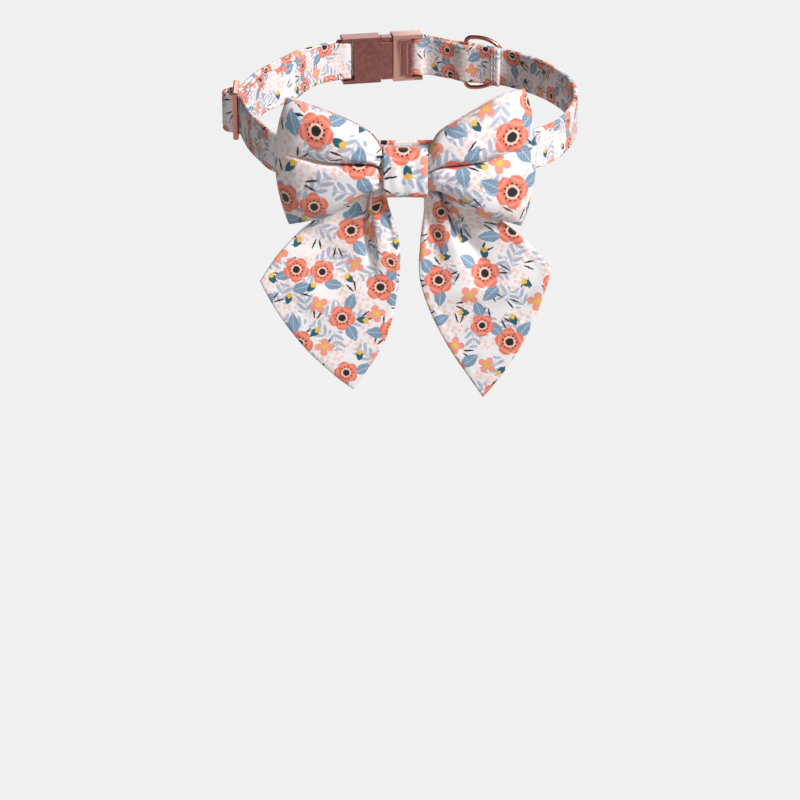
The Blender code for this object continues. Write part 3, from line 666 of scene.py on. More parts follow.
def grid_mesh(name, points, flat, close_rows=False):
    """A closed surface through rows of points, each row a closed section. flat holds the flat-cut
    coordinates, with one more column, and one more row where the rows close too."""
    rows, count = points.shape[:2]
    spans = rows if close_rows else rows - 1
    r, c = np.meshgrid(np.arange(spans), np.arange(count), indexing="ij")
    r, c = r.ravel(), c.ravel()
    right, below = (c + 1) % count, (r + 1) % rows
    faces = np.stack([r * count + c, r * count + right, below * count + right, below * count + c], axis=1)
    corners = np.stack([flat[r, c], flat[r, c + 1], flat[r + 1, c + 1], flat[r + 1, c]], axis=1)
    faces, corners = faces.tolist(), corners.reshape(-1, 2)
    if not close_rows:
        extra = []
        for row in (0, rows - 1):
            for i in range(count // 2 - 1):
                quad = [i, i + 1, count - 2 - i, count - 1 - i]
                faces.append([row * count + q for q in quad])
                extra += [flat[row, i], flat[row, i + 1], flat[row, i + 1], flat[row, i]]
        corners = np.vstack([corners, np.array(extra)])
    mesh = bpy.data.meshes.new(name)
    mesh.from_pydata(points.reshape(-1, 3).tolist(), [], faces)
    layer = mesh.uv_layers.new(name="flat_cut")
    layer.data.foreach_set("uv", corners.astype(np.float32).ravel())
    bm = bmesh.new()
    bm.from_mesh(mesh)
    bmesh.ops.recalc_face_normals(bm, faces=bm.faces)
    bm.to_mesh(mesh)
    bm.free()
    mesh.shade_smooth()
    return mesh


def place_piece(name, mesh, look, body, replaces=()):
    mesh.materials.append(look)
    piece = bpy.data.objects.new(name, mesh)
    bpy.context.scene.collection.objects.link(piece)
    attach(piece, body)
    if replaces:
        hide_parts(*replaces)
    return piece


def smooth_table(rows, share):
    """The table's other columns at a share of its first one, along a smooth curve."""
    table = np.array(rows, dtype=float)
    key = table[:, 0]
    slopes = np.gradient(table[:, 1:], key, axis=0)
    i = int(np.clip(np.searchsorted(key, share) - 1, 0, len(key) - 2))
    width = key[i + 1] - key[i]
    t = (share - key[i]) / width
    start, end = table[i, 1:], table[i + 1, 1:]
    return ((2 * t**3 - 3 * t**2 + 1) * start + (t**3 - 2 * t**2 + t) * width * slopes[i]
            + (3 * t**2 - 2 * t**3) * end + (t**3 - t**2) * width * slopes[i + 1])


def between(first, last, start, end, t):
    """The value at t on the straight way from first, at start, to last, at end."""
    return (end - t) / (end - start) * first + (t - start) / (end - start) * last


def smooth_line(points, per_span=10, closed=False):
    """Points along a centripetal Catmull-Rom curve through the given plan points."""
    given = [np.array(p, dtype=float) for p in points]
    if closed:
        given = [given[-1], *given, given[0], given[1]]
    else:
        given = [2 * given[0] - given[1], *given, 2 * given[-1] - given[-2]]
    line = []
    for p0, p1, p2, p3 in zip(given, given[1:], given[2:], given[3:]):
        t0 = 0.0
        t1 = math.sqrt(np.linalg.norm(p1 - p0))
        t2 = t1 + math.sqrt(np.linalg.norm(p2 - p1))
        t3 = t2 + math.sqrt(np.linalg.norm(p3 - p2))
        for k in range(per_span):
            t = t1 + (t2 - t1) * k / per_span
            a1, a2, a3 = between(p0, p1, t0, t1, t), between(p1, p2, t1, t2, t), between(p2, p3, t2, t3, t)
            b1, b2 = between(a1, a2, t0, t2, t), between(a2, a3, t1, t3, t)
            line.append(between(b1, b2, t1, t2, t))
    if not closed:
        line.append(given[-2])
    return line


RING_LINE = np.array(smooth_line([(across * RING_WIDTH / 2, deep * RING_DEPTH / 2)
                                  for across, deep in RING_ROWS], closed=True))
RING_BEARINGS = np.degrees(np.arctan2(RING_LINE[:, 1], RING_LINE[:, 0]))
RING_ORDER = np.argsort(RING_BEARINGS)


def ring_point(bearing):
    return np.array([np.interp(bearing, RING_BEARINGS[RING_ORDER], RING_LINE[RING_ORDER, axis], period=360)
                     for axis in (0, 1)])


class Place:
    """A place on the ring: s runs clockwise along the strap, n points away from the neck."""

    def __init__(self, bearing, offset=0.0):
        ahead, behind = ring_point(bearing - 1.5), ring_point(bearing + 1.5)
        self.along = (ahead - behind) / np.linalg.norm(ahead - behind)
        self.outward = np.array((-self.along[1], self.along[0]))
        self.centre = ring_point(bearing) + self.outward * offset

    def plan(self, s, n):
        return self.centre + self.along * s + self.outward * n


LAYER_PITCH = STRAP_THICK + GAP
BUCKLE_TURN = BUCKLE_BAR_RADIUS + GAP + STRAP_THICK / 2
SLIDER_CORNER = math.hypot(SLIDER_BAR / 2, SLIDER_BAR / 2 - SLIDER_EDGE)
SLIDER_UNDER = SLIDER_CORNER + GAP + STRAP_THICK / 2
SLIDER_OVER = SLIDER_UNDER + LAYER_PITCH
SLIDER_PITCH = (SLIDER_UNDER + SLIDER_OVER) * SLIDER_EASE
SLIDER_LEAN = math.asin((SLIDER_UNDER + SLIDER_OVER) / SLIDER_PITCH)
WIRE_LIFT = RING_WIRE_RADIUS + GAP + STRAP_THICK / 2

BUCKLE = Place(BUCKLE_BEARING)
SLIDER = Place(SLIDER_BEARING, SLIDER_UNDER)
LEASH = Place(RING_BEARING, -WIRE_LIFT)

TAB_BACK = -RING_DEPTH / 2 - STRAP_THICK / 2 - GAP
KNOT_BACK = TAB_BACK - TAB_THICK - GAP - TAIL_BUNDLE - GAP
KNOT_MIDDLE = KNOT_BACK - KNOT_DEPTH / 2


def bearing_of(point):
    return math.degrees(math.atan2(point[1], point[0])) % 360


def ring_run(start, end, offset, step=9.0):
    """Plan points at a height above the ring's line, which may change along the way."""
    count = max(2, round(abs(end - start) / step))
    run = []
    for k in range(count + 1):
        share = k / count
        place = Place(start + (end - start) * share)
        run.append(place.plan(0.0, offset(share)))
    return run


def turn(place, s, n, radius, start, end, count):
    """Plan points on an arc round a bar of a buckle or slider, angles in degrees from s to n."""
    return [place.plan(s + radius * math.cos(math.radians(a)), n + radius * math.sin(math.radians(a)))
            for a in np.linspace(start, end, count)]


def strap_route():
    lean = math.degrees(SLIDER_LEAN)
    half = BUCKLE_BAR_PITCH / 2
    right_bar = bearing_of(BUCKLE.plan(half, 0.0))
    left_bar = bearing_of(BUCKLE.plan(-half, 0.0))
    leash = bearing_of(LEASH.centre)
    slider_front = bearing_of(SLIDER.plan(-SLIDER_PITCH, 0.0))
    slider_back = bearing_of(SLIDER.plan(SLIDER_PITCH, 0.0))

    def below_ring_wire(share):
        bearing = SEAM_BEARING + (right_bar - BUCKLE_SETTLE - SEAM_BEARING) * share
        bulge = math.exp(-(((bearing - leash) / WIRE_POCKET) ** 2))
        return -LAYER_PITCH - (2 * WIRE_LIFT - LAYER_PITCH) * bulge

    def level(share):
        return 0.0

    def inner_left(share):
        start, end = -BUCKLE_TURN, -2 * LAYER_PITCH
        return start + (end - start) * share - STRAP_SLACK * math.sin(math.pi * share)

    lead = STRAIGHT_LEAD * BUCKLE_TURN
    route = []
    # Sewn end at the back right, towards the buckle
    route += ring_run(SEAM_BEARING, right_bar - BUCKLE_SETTLE, below_ring_wire, 3.0)
    # Round the prong half's bar and back over the leash ring
    route.append(BUCKLE.plan(half + lead, -BUCKLE_TURN))
    route += turn(BUCKLE, half, 0.0, BUCKLE_TURN, 270.0, 90.0, 5)
    route.append(BUCKLE.plan(half + lead, BUCKLE_TURN))
    route += ring_run(right_bar - BUCKLE_SETTLE, slider_front - 360.0 + SLIDER_SETTLE, level)
    # Under the slider's front bar, over its middle bar and under its back bar
    route += turn(SLIDER, -SLIDER_PITCH, 0.0, SLIDER_UNDER, 270.0, 270.0 + lean, 3)
    route += turn(SLIDER, 0.0, 0.0, SLIDER_OVER, 90.0 + lean, 90.0 - lean, 7)
    route += turn(SLIDER, SLIDER_PITCH, 0.0, SLIDER_UNDER, 270.0 - lean, 270.0, 3)
    route += ring_run(slider_back - SLIDER_SETTLE, left_bar + BUCKLE_SETTLE, level)
    # Round the housing's bar and back along the inside
    route.append(BUCKLE.plan(-half - lead, BUCKLE_TURN))
    route += turn(BUCKLE, -half, 0.0, BUCKLE_TURN, 90.0, -90.0, 5)
    route.append(BUCKLE.plan(-half - lead, -BUCKLE_TURN))
    route += ring_run(left_bar + BUCKLE_SETTLE, slider_back - SLIDER_SETTLE_INNER, inner_left)
    # Round the slider's middle bar, and sewn back between the other two layers
    outer_leg = SLIDER_UNDER + 2 * LAYER_PITCH
    route += turn(SLIDER, SLIDER_PITCH, 0.0, outer_leg, 265.0, 235.0, 3)
    route += turn(SLIDER, 0.0, 0.0, SLIDER_UNDER, 262.0, 90.0 - lean, 8)
    inner_leg = SLIDER_UNDER + LAYER_PITCH
    route += turn(SLIDER, SLIDER_PITCH, 0.0, inner_leg, 270.0 - lean, 270.0, 3)
    sewn_end = bearing_of(SLIDER.plan(SLIDER_PITCH + SEWN_LENGTH, 0.0))
    end_place = Place(sewn_end, -LAYER_PITCH)
    route.append(end_place.plan(0.0, 0.0))
    return np.array(smooth_line(route))


def even_line(line, step):
    """The line again with points that far apart, and the length up to each."""
    lengths = np.concatenate([[0.0], np.cumsum(np.linalg.norm(np.diff(line, axis=0), axis=1))])
    count = int(lengths[-1] / step)
    at = np.linspace(0.0, lengths[-1], count + 1)
    return np.stack([np.interp(at, lengths, line[:, axis]) for axis in (0, 1)], axis=1), at


def line_sides(line):
    """Unit directions along the line and to its left at each point."""
    along = np.gradient(line, axis=0)
    along /= np.linalg.norm(along, axis=1)[:, None]
    return along, np.stack([-along[:, 1], along[:, 0]], axis=1)


def ripple(x, y, seed):
    return noise.noise(Vector((x, y, seed)))


def within(value):
    """The value, held between 0 and 1."""
    return min(1.0, max(0.0, value))


def bell(away, width, power=2):
    """1 on the middle line of a fold, crease or groove, falling off over its width."""
    return math.exp(-(abs(away / width) ** power))


def strap_half_thickness(z, run):
    """Half the strap's thickness at a height across it: rounded edges, a groove under each row of
    stitches and small puckers along the edge."""
    edge = STRAP_HEIGHT / 2 - abs(z)
    rounding = STRAP_THICK / 2
    profile = math.sqrt(max(0.0, 1.0 - (1.0 - min(1.0, edge / rounding)) ** 2.4))
    groove = STITCH_GROOVE * bell(edge - STITCH_INSET, 0.0005)
    pucker = STRAP_PUCKER * ripple(run * 420.0, z * 90.0, 3.0) * bell(edge - 0.001, 0.003)
    soft = STRAP_SOFTNESS * ripple(run * 110.0, z * 120.0, 9.0)
    return max(LEAST_HALF, (STRAP_THICK / 2 - LEAST_HALF) * profile - groove + pucker + soft)


def build_strap(cloth, thread):
    line, at = even_line(strap_route(), STRAP_STEP)
    along, outward = line_sides(line)
    across = np.sin(np.linspace(-math.pi / 2, math.pi / 2, 25)) * STRAP_HEIGHT / 2
    points, flat = [], []
    for here, side, run in zip(line, outward, at):
        outer = [(*(here + side * strap_half_thickness(z, run)), z) for z in across]
        inner = [(*(here - side * strap_half_thickness(z, run + 7.0)), z) for z in reversed(across)]
        points.append(outer + inner)
        fronts = [(run, z) for z in across]
        backs = [(run, STRAP_HEIGHT + 0.0008 - z) for z in reversed(across)]
        flat.append(fronts + backs + [(run, 3 * STRAP_HEIGHT / 2 + 0.0012)])
    mesh = grid_mesh("strap_cloth", np.array(points), np.array(flat))
    strap = place_piece("strap_cloth", mesh, cloth, "collar", ["strap"])

    # Rows of stitches along both edges of both faces, and across the strap where it is sewn together
    stitches = []
    rows = STRAP_HEIGHT / 2 - STITCH_INSET
    total = at[-1]
    for level in (rows, -rows):
        for face in (1, -1):
            for start in np.arange(0.002, total - 0.003, STITCH_PITCH):
                stitches.append((start, level, start + STITCH_LENGTH, level, face))
    cross_runs = (0.0022, 0.0040, total - 0.0022, total - 0.0100)
    for run in cross_runs:
        for z in np.arange(-rows, rows - STITCH_LENGTH / 2, STITCH_PITCH):
            for face in (1, -1):
                stitches.append((run, z, run, z + STITCH_LENGTH, face))

    def on_strap(run, z, face, lift):
        here = np.array([np.interp(run, at, line[:, axis]) for axis in (0, 1)])
        side = np.array([np.interp(run, at, outward[:, axis]) for axis in (0, 1)])
        height = strap_half_thickness(z, run if face > 0 else run + 7.0) + lift
        return Vector((*(here + side * face * height), z))

    threads = thread_mesh("strap_stitches", [
        [on_strap(r0 + (r1 - r0) * t, z0 + (z1 - z0) * t, face, 0.00012 * math.sin(math.pi * t) - 0.00008)
         for t in (0.0, 0.25, 0.5, 0.75, 1.0)]
        for r0, z0, r1, z1, face in stitches])
    place_piece("strap_stitches", threads, thread, "collar")
    return strap


def thread_mesh(name, paths, sides=5):
    """Short lengths of thread with rounded ends, one for each path."""
    verts, faces = [], []
    for path in paths:
        count = len(path)
        base = len(verts)
        for i, here in enumerate(path):
            ahead = path[min(i + 1, count - 1)] - path[max(i - 1, 0)]
            ahead.normalize()
            across = ahead.orthogonal().normalized()
            up = ahead.cross(across)
            end = i in (0, count - 1)
            radius = THREAD_RADIUS * (0.45 if end else 1.0)
            for k in range(sides):
                a = 2 * math.pi * k / sides
                verts.append(here + (across * math.cos(a) + up * math.sin(a)) * radius)
        for i in range(count - 1):
            for k in range(sides):
                j = (k + 1) % sides
                faces.append([base + i * sides + k, base + i * sides + j,
                              base + (i + 1) * sides + j, base + (i + 1) * sides + k])
        faces.append([base + k for k in reversed(range(sides))])
        faces.append([base + (count - 1) * sides + k for k in range(sides)])
    mesh = bpy.data.meshes.new(name)
    mesh.from_pydata([tuple(v) for v in verts], [], faces)
    mesh.shade_smooth()
    return mesh


def bow_sweep(x):
    return BOW_SWEEP * (x / (BOW_SPAN / 2)) ** 2


def loop_levels(side, share):
    row = smooth_table(LOOP_ROWS, share)
    top, low, level = (row[0], row[1], row[7]) if side < 0 else (row[2], row[3], row[8])
    return (top * BOW_HEIGHT, low * BOW_HEIGHT, row[4] * BOW_DEPTH, row[5] * BOW_DEPTH,
            row[6] * BOW_DEPTH, level)


def loop_point(side, share, face, up, inset):
    """A point of a loop's wall, as in the solid, with creases that run out of the knot."""
    top, low, front, back, pleat, level = loop_levels(side, share)
    rounding = max(0.0, (share - FOLD_START) / (1.0 - FOLD_START))
    fold = math.sqrt(max(0.0, 1.0 - rounding**2))
    half_span = BOW_SPAN / 2 - inset * rounding
    x = side * share * half_span * (1.0 - BOW_EDGE_ARC * up * up * share)
    z = (top + low) / 2 + up * (top - low) / 2
    crown = 1.0 - EDGE_CLOSING * min(1.0, 3.0 * share) * abs(up) ** CROWN_POWER
    crease = 0.0
    for start, climb, width, depth, reach in LOOP_CREASES:
        fade = max(0.0, 1.0 - share / reach) * within((share - 0.12) / 0.08)
        crease += depth * fade * bell(up - start - climb * share, width)
    soft = LOOP_SOFTNESS * ripple(x * 70.0, z * 70.0, 5.0 + face) * min(1.0, share * 2.0)
    if face > 0:
        line_width = CREASE_ABOVE if up > level else CREASE_BELOW
        end = CREASE_END_LEFT if side < 0 else CREASE_END_RIGHT
        strength = min(1.0, share / 0.2) * max(0.0, 1.0 - (share / end) ** 4)
        pressed = CREASE_DEPTH * strength * bell(up - level, line_width, 1.3)
        reach = front * crown - pleat * 0.6 * bell(up - level, PLEAT_WIDTH) - pressed - crease + soft
        y = -max(reach - inset, LEAST_WALL * BOW_WALL) * fold
        z -= CREASE_LIP * strength * bell(up - level - 0.055, 0.045)
    else:
        y = max(back * crown - crease * 0.6 + soft - inset, LEAST_WALL * BOW_WALL) * fold
    return (x, KNOT_MIDDLE + y + bow_sweep(x), z - BOW_DROP)


def cut_from(flat, degrees, across, up):
    """The same cut laid elsewhere on the printed cloth."""
    a = math.radians(degrees)
    table = np.array(flat)
    return np.stack([table[..., 0] * math.cos(a) - table[..., 1] * math.sin(a) + across,
                     table[..., 0] * math.sin(a) + table[..., 1] * math.cos(a) + up], axis=-1)


def extra_length(points):
    """How much longer the cloth is than its flat outline, counted along a row from its middle."""
    steps = np.diff(points, axis=0)
    gain = np.linalg.norm(steps, axis=1) - np.linalg.norm(steps[:, [0, 2]], axis=1)
    total = np.concatenate([[0.0], np.cumsum(gain)])
    return total - total[len(total) // 2]


def build_bow_loops(cloth):
    # Rows run close together at the pleat and follow its level
    even = np.linspace(-1.0, 1.0, 109)
    spread = np.sign(even) * np.abs(even) ** 1.7
    to_fold = FOLD_START + (1.0 - FOLD_START) * np.sin(np.linspace(0, math.pi / 2, 15))[1:]
    outward = np.concatenate([np.linspace(0.0, FOLD_START, 41), to_fold])
    stations = []
    for side in (1, -1):
        shares = list(outward) if side > 0 else list(outward[1:])
        front = [(side, share, 1) for share in shares]
        back = [(side, share, -1) for share in reversed(list(outward[1:-1] if side > 0 else outward[:-1]))]
        stations += front + back if side > 0 else list(reversed(front + back))
    points, flat = [], []
    run, last = 0.0, None
    for side, share, face in stations:
        level = loop_levels(side, share)[5]
        ups = level + spread * np.where(spread > 0.0, 1.0 - level, 1.0 + level)
        outer = np.array([loop_point(side, share, face, up, 0.0) for up in ups])
        inner = np.array([loop_point(side, share, face, up, BOW_WALL) for up in reversed(ups)])
        middle = outer[len(ups) // 2]
        if last is not None:
            run += np.linalg.norm(middle - last)
        last = middle
        points.append(np.vstack([outer, inner]))
        extra = extra_length(outer)
        outer_flat = [(run, z + e) for z, e in zip(outer[:, 2], extra)]
        inner_flat = [(run + 0.021, z + e) for z, e in zip(inner[:, 2], extra[::-1])]
        flat.append(outer_flat + inner_flat + [inner_flat[-1]])
    flat.append([(u + run - flat[0][0][0] + 0.0014, v) for u, v in flat[0]])
    mesh = grid_mesh("bow_loops_cloth", np.array(points), cut_from(flat, *LOOPS_CUT), close_rows=True)
    piece = place_piece("bow_loops_cloth", mesh, cloth, "collar", ["bow_loops"])
    return piece


def build_knot(cloth):
    """The band round the pinched middle: a rounded tube across the bow, open at its two sides."""
    count = 96
    across = np.concatenate([[-1.0, -0.985, -0.95], np.linspace(-0.88, 0.88, 19), [0.95, 0.985, 1.0]])
    points, flat = [], []
    run, last = 0.0, None
    for k in range(count):
        a = 2 * math.pi * (k + 0.5) / count
        up, deep = math.sin(a), math.cos(a)
        outer, inner = [], []
        for share in across:
            x = share * KNOT_WIDTH / 2
            waist = 1.0 - 0.03 * (1.0 - share**2)
            hem = KNOT_HEM * max(0.0, (abs(share) - 0.90) / 0.10) ** 2
            wave = KNOT_WAVE * ripple(x * 190.0, a * 1.6, 2.0) + KNOT_RIB * math.sin(x * 900.0 + 2.0 * up)
            wave *= 1.0 - share**4
            for row, inset in ((outer, hem), (inner, KNOT_WALL)):
                rise = wave if row is outer else 0.0
                z = (KNOT_HEIGHT / 2 - inset) * math.copysign(abs(up) ** KNOT_SQUARE_UP, up)
                y = (KNOT_DEPTH / 2 - inset + rise) * math.copysign(abs(deep) ** KNOT_SQUARE_DEEP, deep)
                row.append((x, KNOT_MIDDLE + y, z * waist - BOW_DROP))
        middle = np.array(outer[len(across) // 2])
        if last is not None:
            run += np.linalg.norm(middle - last)
        last = middle
        points.append(outer + inner[::-1])
        outer_flat = [(point[0], run) for point in outer]
        inner_flat = [(point[0] + 0.03, run) for point in reversed(inner)]
        flat.append(outer_flat + inner_flat + [inner_flat[-1]])
    flat.append([(u, v + run + 0.0006) for u, v in flat[0]])
    mesh = grid_mesh("knot_band_cloth", np.array(points), cut_from(flat, *KNOT_CUT), close_rows=True)
    piece = place_piece("knot_band_cloth", mesh, cloth, "collar", ["knot_band"])
    return piece


def build_tab(cloth):
    levels = np.linspace(-TAB_HEIGHT / 2, TAB_HEIGHT / 2, 15)
    points, flat = [], []
    for x in np.linspace(-TAB_WIDTH / 2, TAB_WIDTH / 2, 15):
        row = [(x, TAB_BACK - TAB_THICK, z) for z in levels] + [(x, TAB_BACK, z) for z in levels[::-1]]
        points.append(row)
        flat.append([(x, z) for _, _, z in row] + [(x, row[-1][2])])
    mesh = grid_mesh("bow_tab_tape", np.array(points), np.array(flat))
    return place_piece("bow_tab_tape", mesh, cloth, "collar", ["bow_tab"])


def tail_wave(side, place):
    """Forward lift of the soft hollows and swells at a point of a tail."""
    lift = 0.0
    for wave_side, wave_across, wave_down, angle, length, width, height in TAIL_WAVES:
        if wave_side != side:
            continue
        rows = TAIL_LEFT_ROWS if side < 0 else TAIL_RIGHT_ROWS
        outer_x, outer_z, inner_x, inner_z = smooth_table(rows, wave_down)
        x = side * TAIL_SPAN * (outer_x + (inner_x - outer_x) * wave_across)
        z = -TAIL_DROP * (outer_z + (inner_z - outer_z) * wave_across)
        dx, dz = place[0] - x, place[1] - z
        a = math.radians(angle)
        s, t = dx * math.cos(a) + dz * math.sin(a), dz * math.cos(a) - dx * math.sin(a)
        lift += height * bell(s, length) * bell(t, width)
    return lift


def fold_room(side, x, z):
    """How freely a tail's folds can go back and come forward at a place, from 0 to 1: the strap lies
    behind the upper end, and the knot and the loop lie before it."""
    beside = within((abs(x) - KNOT_WIDTH / 2 - GAP) / FOLD_MARGIN)
    knot_edge = -KNOT_HEIGHT / 2 - GAP
    strap_edge = -STRAP_HEIGHT / 2 - GAP + BOW_DROP
    loop_edge = loop_levels(side, abs(x) / (BOW_SPAN / 2))[1] + FOLD_MARGIN
    return [within((knot_edge + (edge - knot_edge) * beside - z) / FOLD_OPENING)
            for edge in (strap_edge, loop_edge)]


def tail_point(rows, side, down, across, face):
    """A point of a tail, as in the solid, with rounded seams at the edges and soft waves."""
    outer_x, outer_z, inner_x, inner_z = smooth_table(rows, down)
    bulge = TAIL_END_ARC * down**4 * 4.0 * across * (1.0 - across)
    x = side * (TAIL_SPAN * (outer_x + (inner_x - outer_x) * across) + bulge * 0.75)
    z = -TAIL_DROP * (outer_z + (inner_z - outer_z) * across) - bulge * 0.66
    if abs(x) < TAIL_PARTING / 2:
        x = side * TAIL_PARTING / 2
    fold = 0.0
    folds = TAIL_LEFT_FOLDS if side < 0 else TAIL_RIGHT_FOLDS
    leaning = folds[1][0] - folds[1][1] * down + FOLD_STEP
    for place, drift, width, height, reach in folds:
        middle = place - drift * down
        spread = width * (1.0 + 0.8 * down + 2.5 * max(0.0, 1.0 - down / 0.3))
        fade = max(0.0, 1.0 - down / reach) ** 1.3
        fold += height * fade * bell(across - middle, spread)
    room = (TAIL_BUNDLE - TAIL_WALL) / 2
    clear_of_knot = within((-z - KNOT_HEIGHT / 2 - GAP) / FOLD_OPENING)
    behind, before = fold_room(side, x, z)
    hollow = room + (TAIL_FOLD - room) * behind
    swell = room + (TAIL_FOLD - room) * before
    raised = hollow * max(-DEEPEST_FOLD, min(0.0, fold)) + swell * max(0.0, min(HIGHEST_FOLD, fold))
    x += side * FOLD_LEAN * max(0.0, raised) * bell(across - leaning, 0.10)
    forward = raised + TAIL_SWING * max(0.0, down - 0.15) ** 1.4
    forward += tail_wave(side, (x, z)) * clear_of_knot
    width_here = TAIL_SPAN * abs(outer_x - inner_x) + TAIL_DROP * abs(outer_z - inner_z) * 0.5
    from_edge = min(across, 1.0 - across) * width_here
    from_end = (1.0 - down) * TAIL_DROP * 0.55
    edge = min(from_edge, from_end)
    pucker = TAIL_PUCKER * ripple(x * 230.0, z * 230.0, 4.0 * side) * bell(edge, 0.006)
    soft = TAIL_SOFTNESS * ripple(x * 60.0, z * 60.0, 8.0 * side)
    forward += (pucker + soft) * clear_of_knot
    rounding = math.sqrt(max(0.0, 1.0 - (1.0 - min(1.0, edge / TAIL_ROUNDING)) ** 2))
    seam = 1.0 + 0.16 * bell(edge - 0.0030, 0.0013) - 0.10 * bell(edge - 0.0056, 0.0014)
    half = TAIL_WALL / 2 * max(0.06, rounding) * seam
    middle = KNOT_BACK + GAP + TAIL_BUNDLE / 2
    y = middle + bow_sweep(x) * 0.5 * (1.0 - down) - forward - face * half
    return (x, y, z - BOW_DROP)


def build_tail(name, node, rows, side, cloth):
    downs = np.concatenate([np.linspace(0.0, 0.97, 86), [0.98, 0.988, 0.994, 0.998, 1.0]])
    across = np.linspace(0.0, 1.0, 91)
    across = 0.5 + 0.5 * np.sign(across - 0.5) * (1 - (1 - np.abs(2 * across - 1)) ** 1.15)
    points, flat = [], []
    for down in downs:
        front = np.array([tail_point(rows, side, down, place, 1) for place in across])
        back = np.array([tail_point(rows, side, down, place, -1) for place in across[::-1]])
        points.append(np.vstack([front, back]))
        extra = extra_length(front) * -side
        front_flat = [(x + e, z) for x, z, e in zip(front[:, 0], front[:, 2], extra)]
        back_flat = back[:, [0, 2]] + (0.031, 0.013)
        flat.append(np.vstack([front_flat, back_flat, back_flat[-1:]]))
    cut = TAIL_LEFT_CUT if side < 0 else TAIL_RIGHT_CUT
    mesh = grid_mesh(name, np.array(points), cut_from(flat, *cut))
    piece = place_piece(name, mesh, cloth, "collar", [node])
    return piece


def build_leash_ring(look):
    """A closed D of round wire between the two layers of strap."""
    wire, rise, corner = RING_WIRE_RADIUS, RING_RISE, RING_CORNER
    straight = corner * 1.7
    path = [(0.0, z) for z in np.linspace(-rise + corner, rise - corner, 9)]
    path += [(corner - corner * math.cos(a), rise - corner + corner * math.sin(a))
             for a in np.linspace(0.0, math.pi / 2, 10)[1:]]
    path += [(straight + (RING_REACH - straight) * math.sin(a), rise * math.cos(a))
             for a in np.linspace(0.0, math.pi, 49)]
    path += [(corner - corner * math.cos(a), -rise + corner - corner * math.sin(a))
             for a in np.linspace(math.pi / 2, 0.0, 10)[:-1]]
    outward = math.atan2(LEASH.outward[1], LEASH.outward[0]) - math.radians(RING_SWING)
    turned = Matrix.Translation((*LEASH.centre, 0.0)) @ Matrix.Rotation(outward, 4, "Z")
    sides = 20
    points, flat = [], []
    count = len(path)
    run = 0.0
    for i in range(count):
        x, z = path[i]
        before, after = path[i - 1], path[(i + 1) % count]
        ahead = Vector((after[0] - before[0], 0.0, after[1] - before[1])).normalized()
        side = Vector((ahead.z, 0.0, -ahead.x))
        here = Vector((x, 0.0, z))
        ring = [turned @ (here + side * (wire * math.cos(a)) + Vector((0, wire * math.sin(a), 0)))
                for a in (2 * math.pi * (k + 0.5) / sides for k in range(sides))]
        points.append([tuple(p) for p in ring])
        run += math.hypot(x - before[0], z - before[1])
        flat.append([(run, k / sides * 0.007) for k in range(sides + 1)])
    flat.append([(u + run, v) for u, v in flat[0]])
    mesh = grid_mesh("leash_ring_wire", np.array(points), np.array(flat), close_rows=True)
    return place_piece("leash_ring_wire", mesh, look, "leash_ring", ["d_ring"])


def refined(node, name, look, width):
    """A hardware piece with its node's own faces, and every edge rounded once more."""
    bm = bmesh.new()
    bm.from_mesh(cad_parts[node].data)
    bmesh.ops.remove_doubles(bm, verts=bm.verts, dist=2e-6)
    bmesh.ops.dissolve_limit(bm, angle_limit=math.radians(1.5), verts=bm.verts, edges=bm.edges)
    mesh = bpy.data.meshes.new(name)
    bm.to_mesh(mesh)
    bm.free()
    mesh.shade_smooth()
    piece = place_piece(name, mesh, look, "collar", [node])
    bevel = piece.modifiers.new("bevel", "BEVEL")
    bevel.width = width
    bevel.segments = 3
    bevel.limit_method = "ANGLE"
    bevel.angle_limit = math.radians(25.0)
    bevel.harden_normals = False
    weighted = piece.modifiers.new("weighted", "WEIGHTED_NORMAL")
    weighted.keep_sharp = True
    return piece


def area_light(name, place, aim_level, size, power, mirrored):
    data = bpy.data.lights.new(name, "AREA")
    data.shape = "DISK"
    data.size = size
    data.energy = power
    lamp = bpy.data.objects.new(name, data)
    lamp.visible_glossy = mirrored
    bpy.context.scene.collection.objects.link(lamp)
    lamp.location = place
    lamp.rotation_euler = (Vector((0.0, 0.0, aim_level)) - Vector(place)).to_track_quat("-Z", "Y").to_euler()
    return lamp


def build_stage():
    scene = bpy.context.scene
    scene.view_settings.view_transform = "Standard"
    scene.view_settings.look = "None"
    world = bpy.data.worlds.new("studio")
    world.use_nodes = True
    world.node_tree.nodes["Background"].inputs["Color"].default_value = (1.0, 1.0, 1.0, 1.0)
    world.node_tree.nodes["Background"].inputs["Strength"].default_value = SKY_GLOW
    scene.world = world

    floor_look, _, shader = new_look("floor_paper")
    shader.inputs["Base Color"].default_value = (0.0, 0.0, 0.0, 1.0)
    shader.inputs["Specular IOR Level"].default_value = 0.0
    shader.inputs["Emission Color"].default_value = (1.0, 1.0, 1.0, 1.0)
    shader.inputs["Emission Strength"].default_value = FLOOR_GLOW
    shader.inputs["Roughness"].default_value = 0.9
    bm = bmesh.new()
    bmesh.ops.create_circle(bm, cap_ends=True, segments=96, radius=9.0)
    mesh = bpy.data.meshes.new("floor")
    bm.to_mesh(mesh)
    bm.free()
    mesh.materials.append(floor_look)
    floor = bpy.data.objects.new("floor", mesh)
    floor.location = (0.0, 0.0, FLOOR_LEVEL)
    scene.collection.objects.link(floor)
    floor.visible_diffuse = False

    for light in LIGHTS:
        area_light(*light)


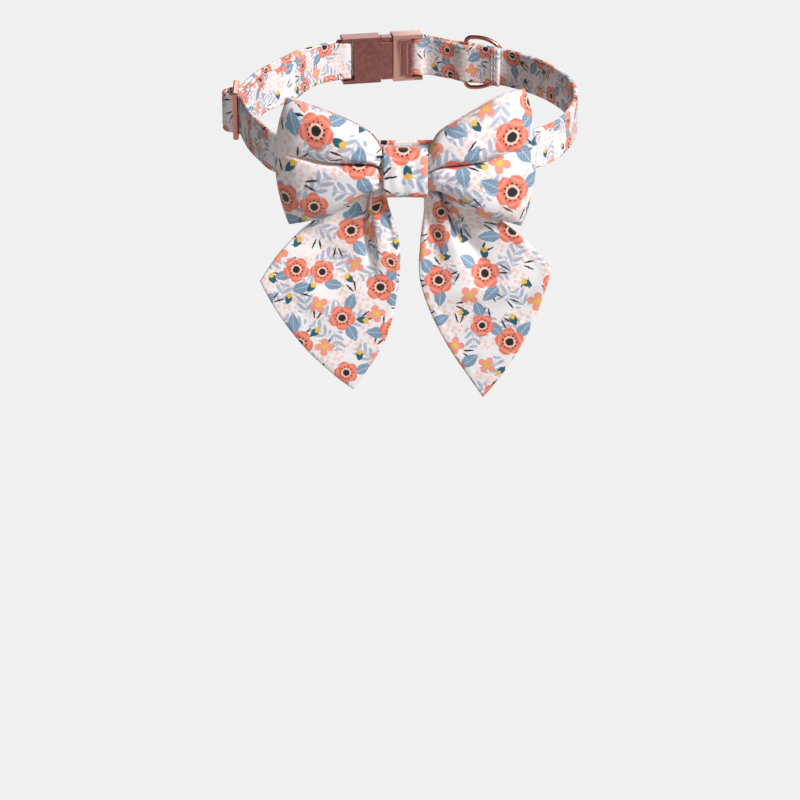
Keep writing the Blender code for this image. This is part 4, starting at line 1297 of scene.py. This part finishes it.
def build_camera():
    """Looks from above the front, turned so that the ring's middle falls on its pixel."""
    data = bpy.data.cameras.new("camera")
    camera = bpy.data.objects.new("camera", data)
    bpy.context.scene.collection.objects.link(camera)
    bpy.context.scene.camera = camera
    lift = math.radians(CAMERA_LIFT)
    camera.location = (0.0, -CAMERA_DISTANCE * math.cos(lift), CAMERA_DISTANCE * math.sin(lift))
    reach = PIXELS_PER_METRE * CAMERA_DISTANCE
    middle = FRAME_PIXELS / 2
    down = math.atan2(middle - ORIGIN_PIXEL[1], reach)
    aside = math.atan2(ORIGIN_PIXEL[0] - middle, reach)
    camera.rotation_euler = (math.pi / 2 - lift - down, 0.0, aside)
    data.sensor_width = 36.0
    data.lens = reach * math.cos(down) * 36.0 / FRAME_PIXELS
    data.clip_start, data.clip_end = 0.05, 50.0


def main():
    strap_cloth = printed_cloth("strap_cotton", STRAP_PRINT, 0.72, 0.15, STRAP_WEAVE_DEPTH)
    bow_cloth = printed_cloth("bow_cotton", BOW_PRINT, 0.58, 0.25, BOW_WEAVE_DEPTH)
    tail_cloth = printed_cloth("tail_cotton", TAIL_PRINT, 0.60, 0.25, BOW_WEAVE_DEPTH)
    thread = plain_cloth("thread", THREAD, 0.7)
    tape = plain_cloth("tape", TAPE, 0.85)
    plate = plated_metal("rose_gold_satin", PLATE, PLATE_DARK, 0.42, 5200.0, 0.00006)
    wire = plated_metal("rose_gold_polished", WIRE, WIRE_DARK, 0.26, 1800.0, 0.000004, mottling=0.6, edge_highlight_share=0.0)

    build_strap(strap_cloth, thread)
    build_knot(bow_cloth)
    build_bow_loops(bow_cloth)
    build_tab(tape)
    build_tail("tail_left_cloth", "tail_left", TAIL_LEFT_ROWS, -1, tail_cloth)
    build_tail("tail_right_cloth", "tail_right", TAIL_RIGHT_ROWS, 1, tail_cloth)
    build_leash_ring(wire)
    refined("buckle_housing", "buckle_housing_plate", plate, PLATE_ROUNDING)
    refined("buckle_prong_half", "buckle_prong_plate", plate, PLATE_ROUNDING)
    refined("slider", "slider_frame", wire, SLIDER_ROUNDING)
    build_stage()
    build_camera()


main()
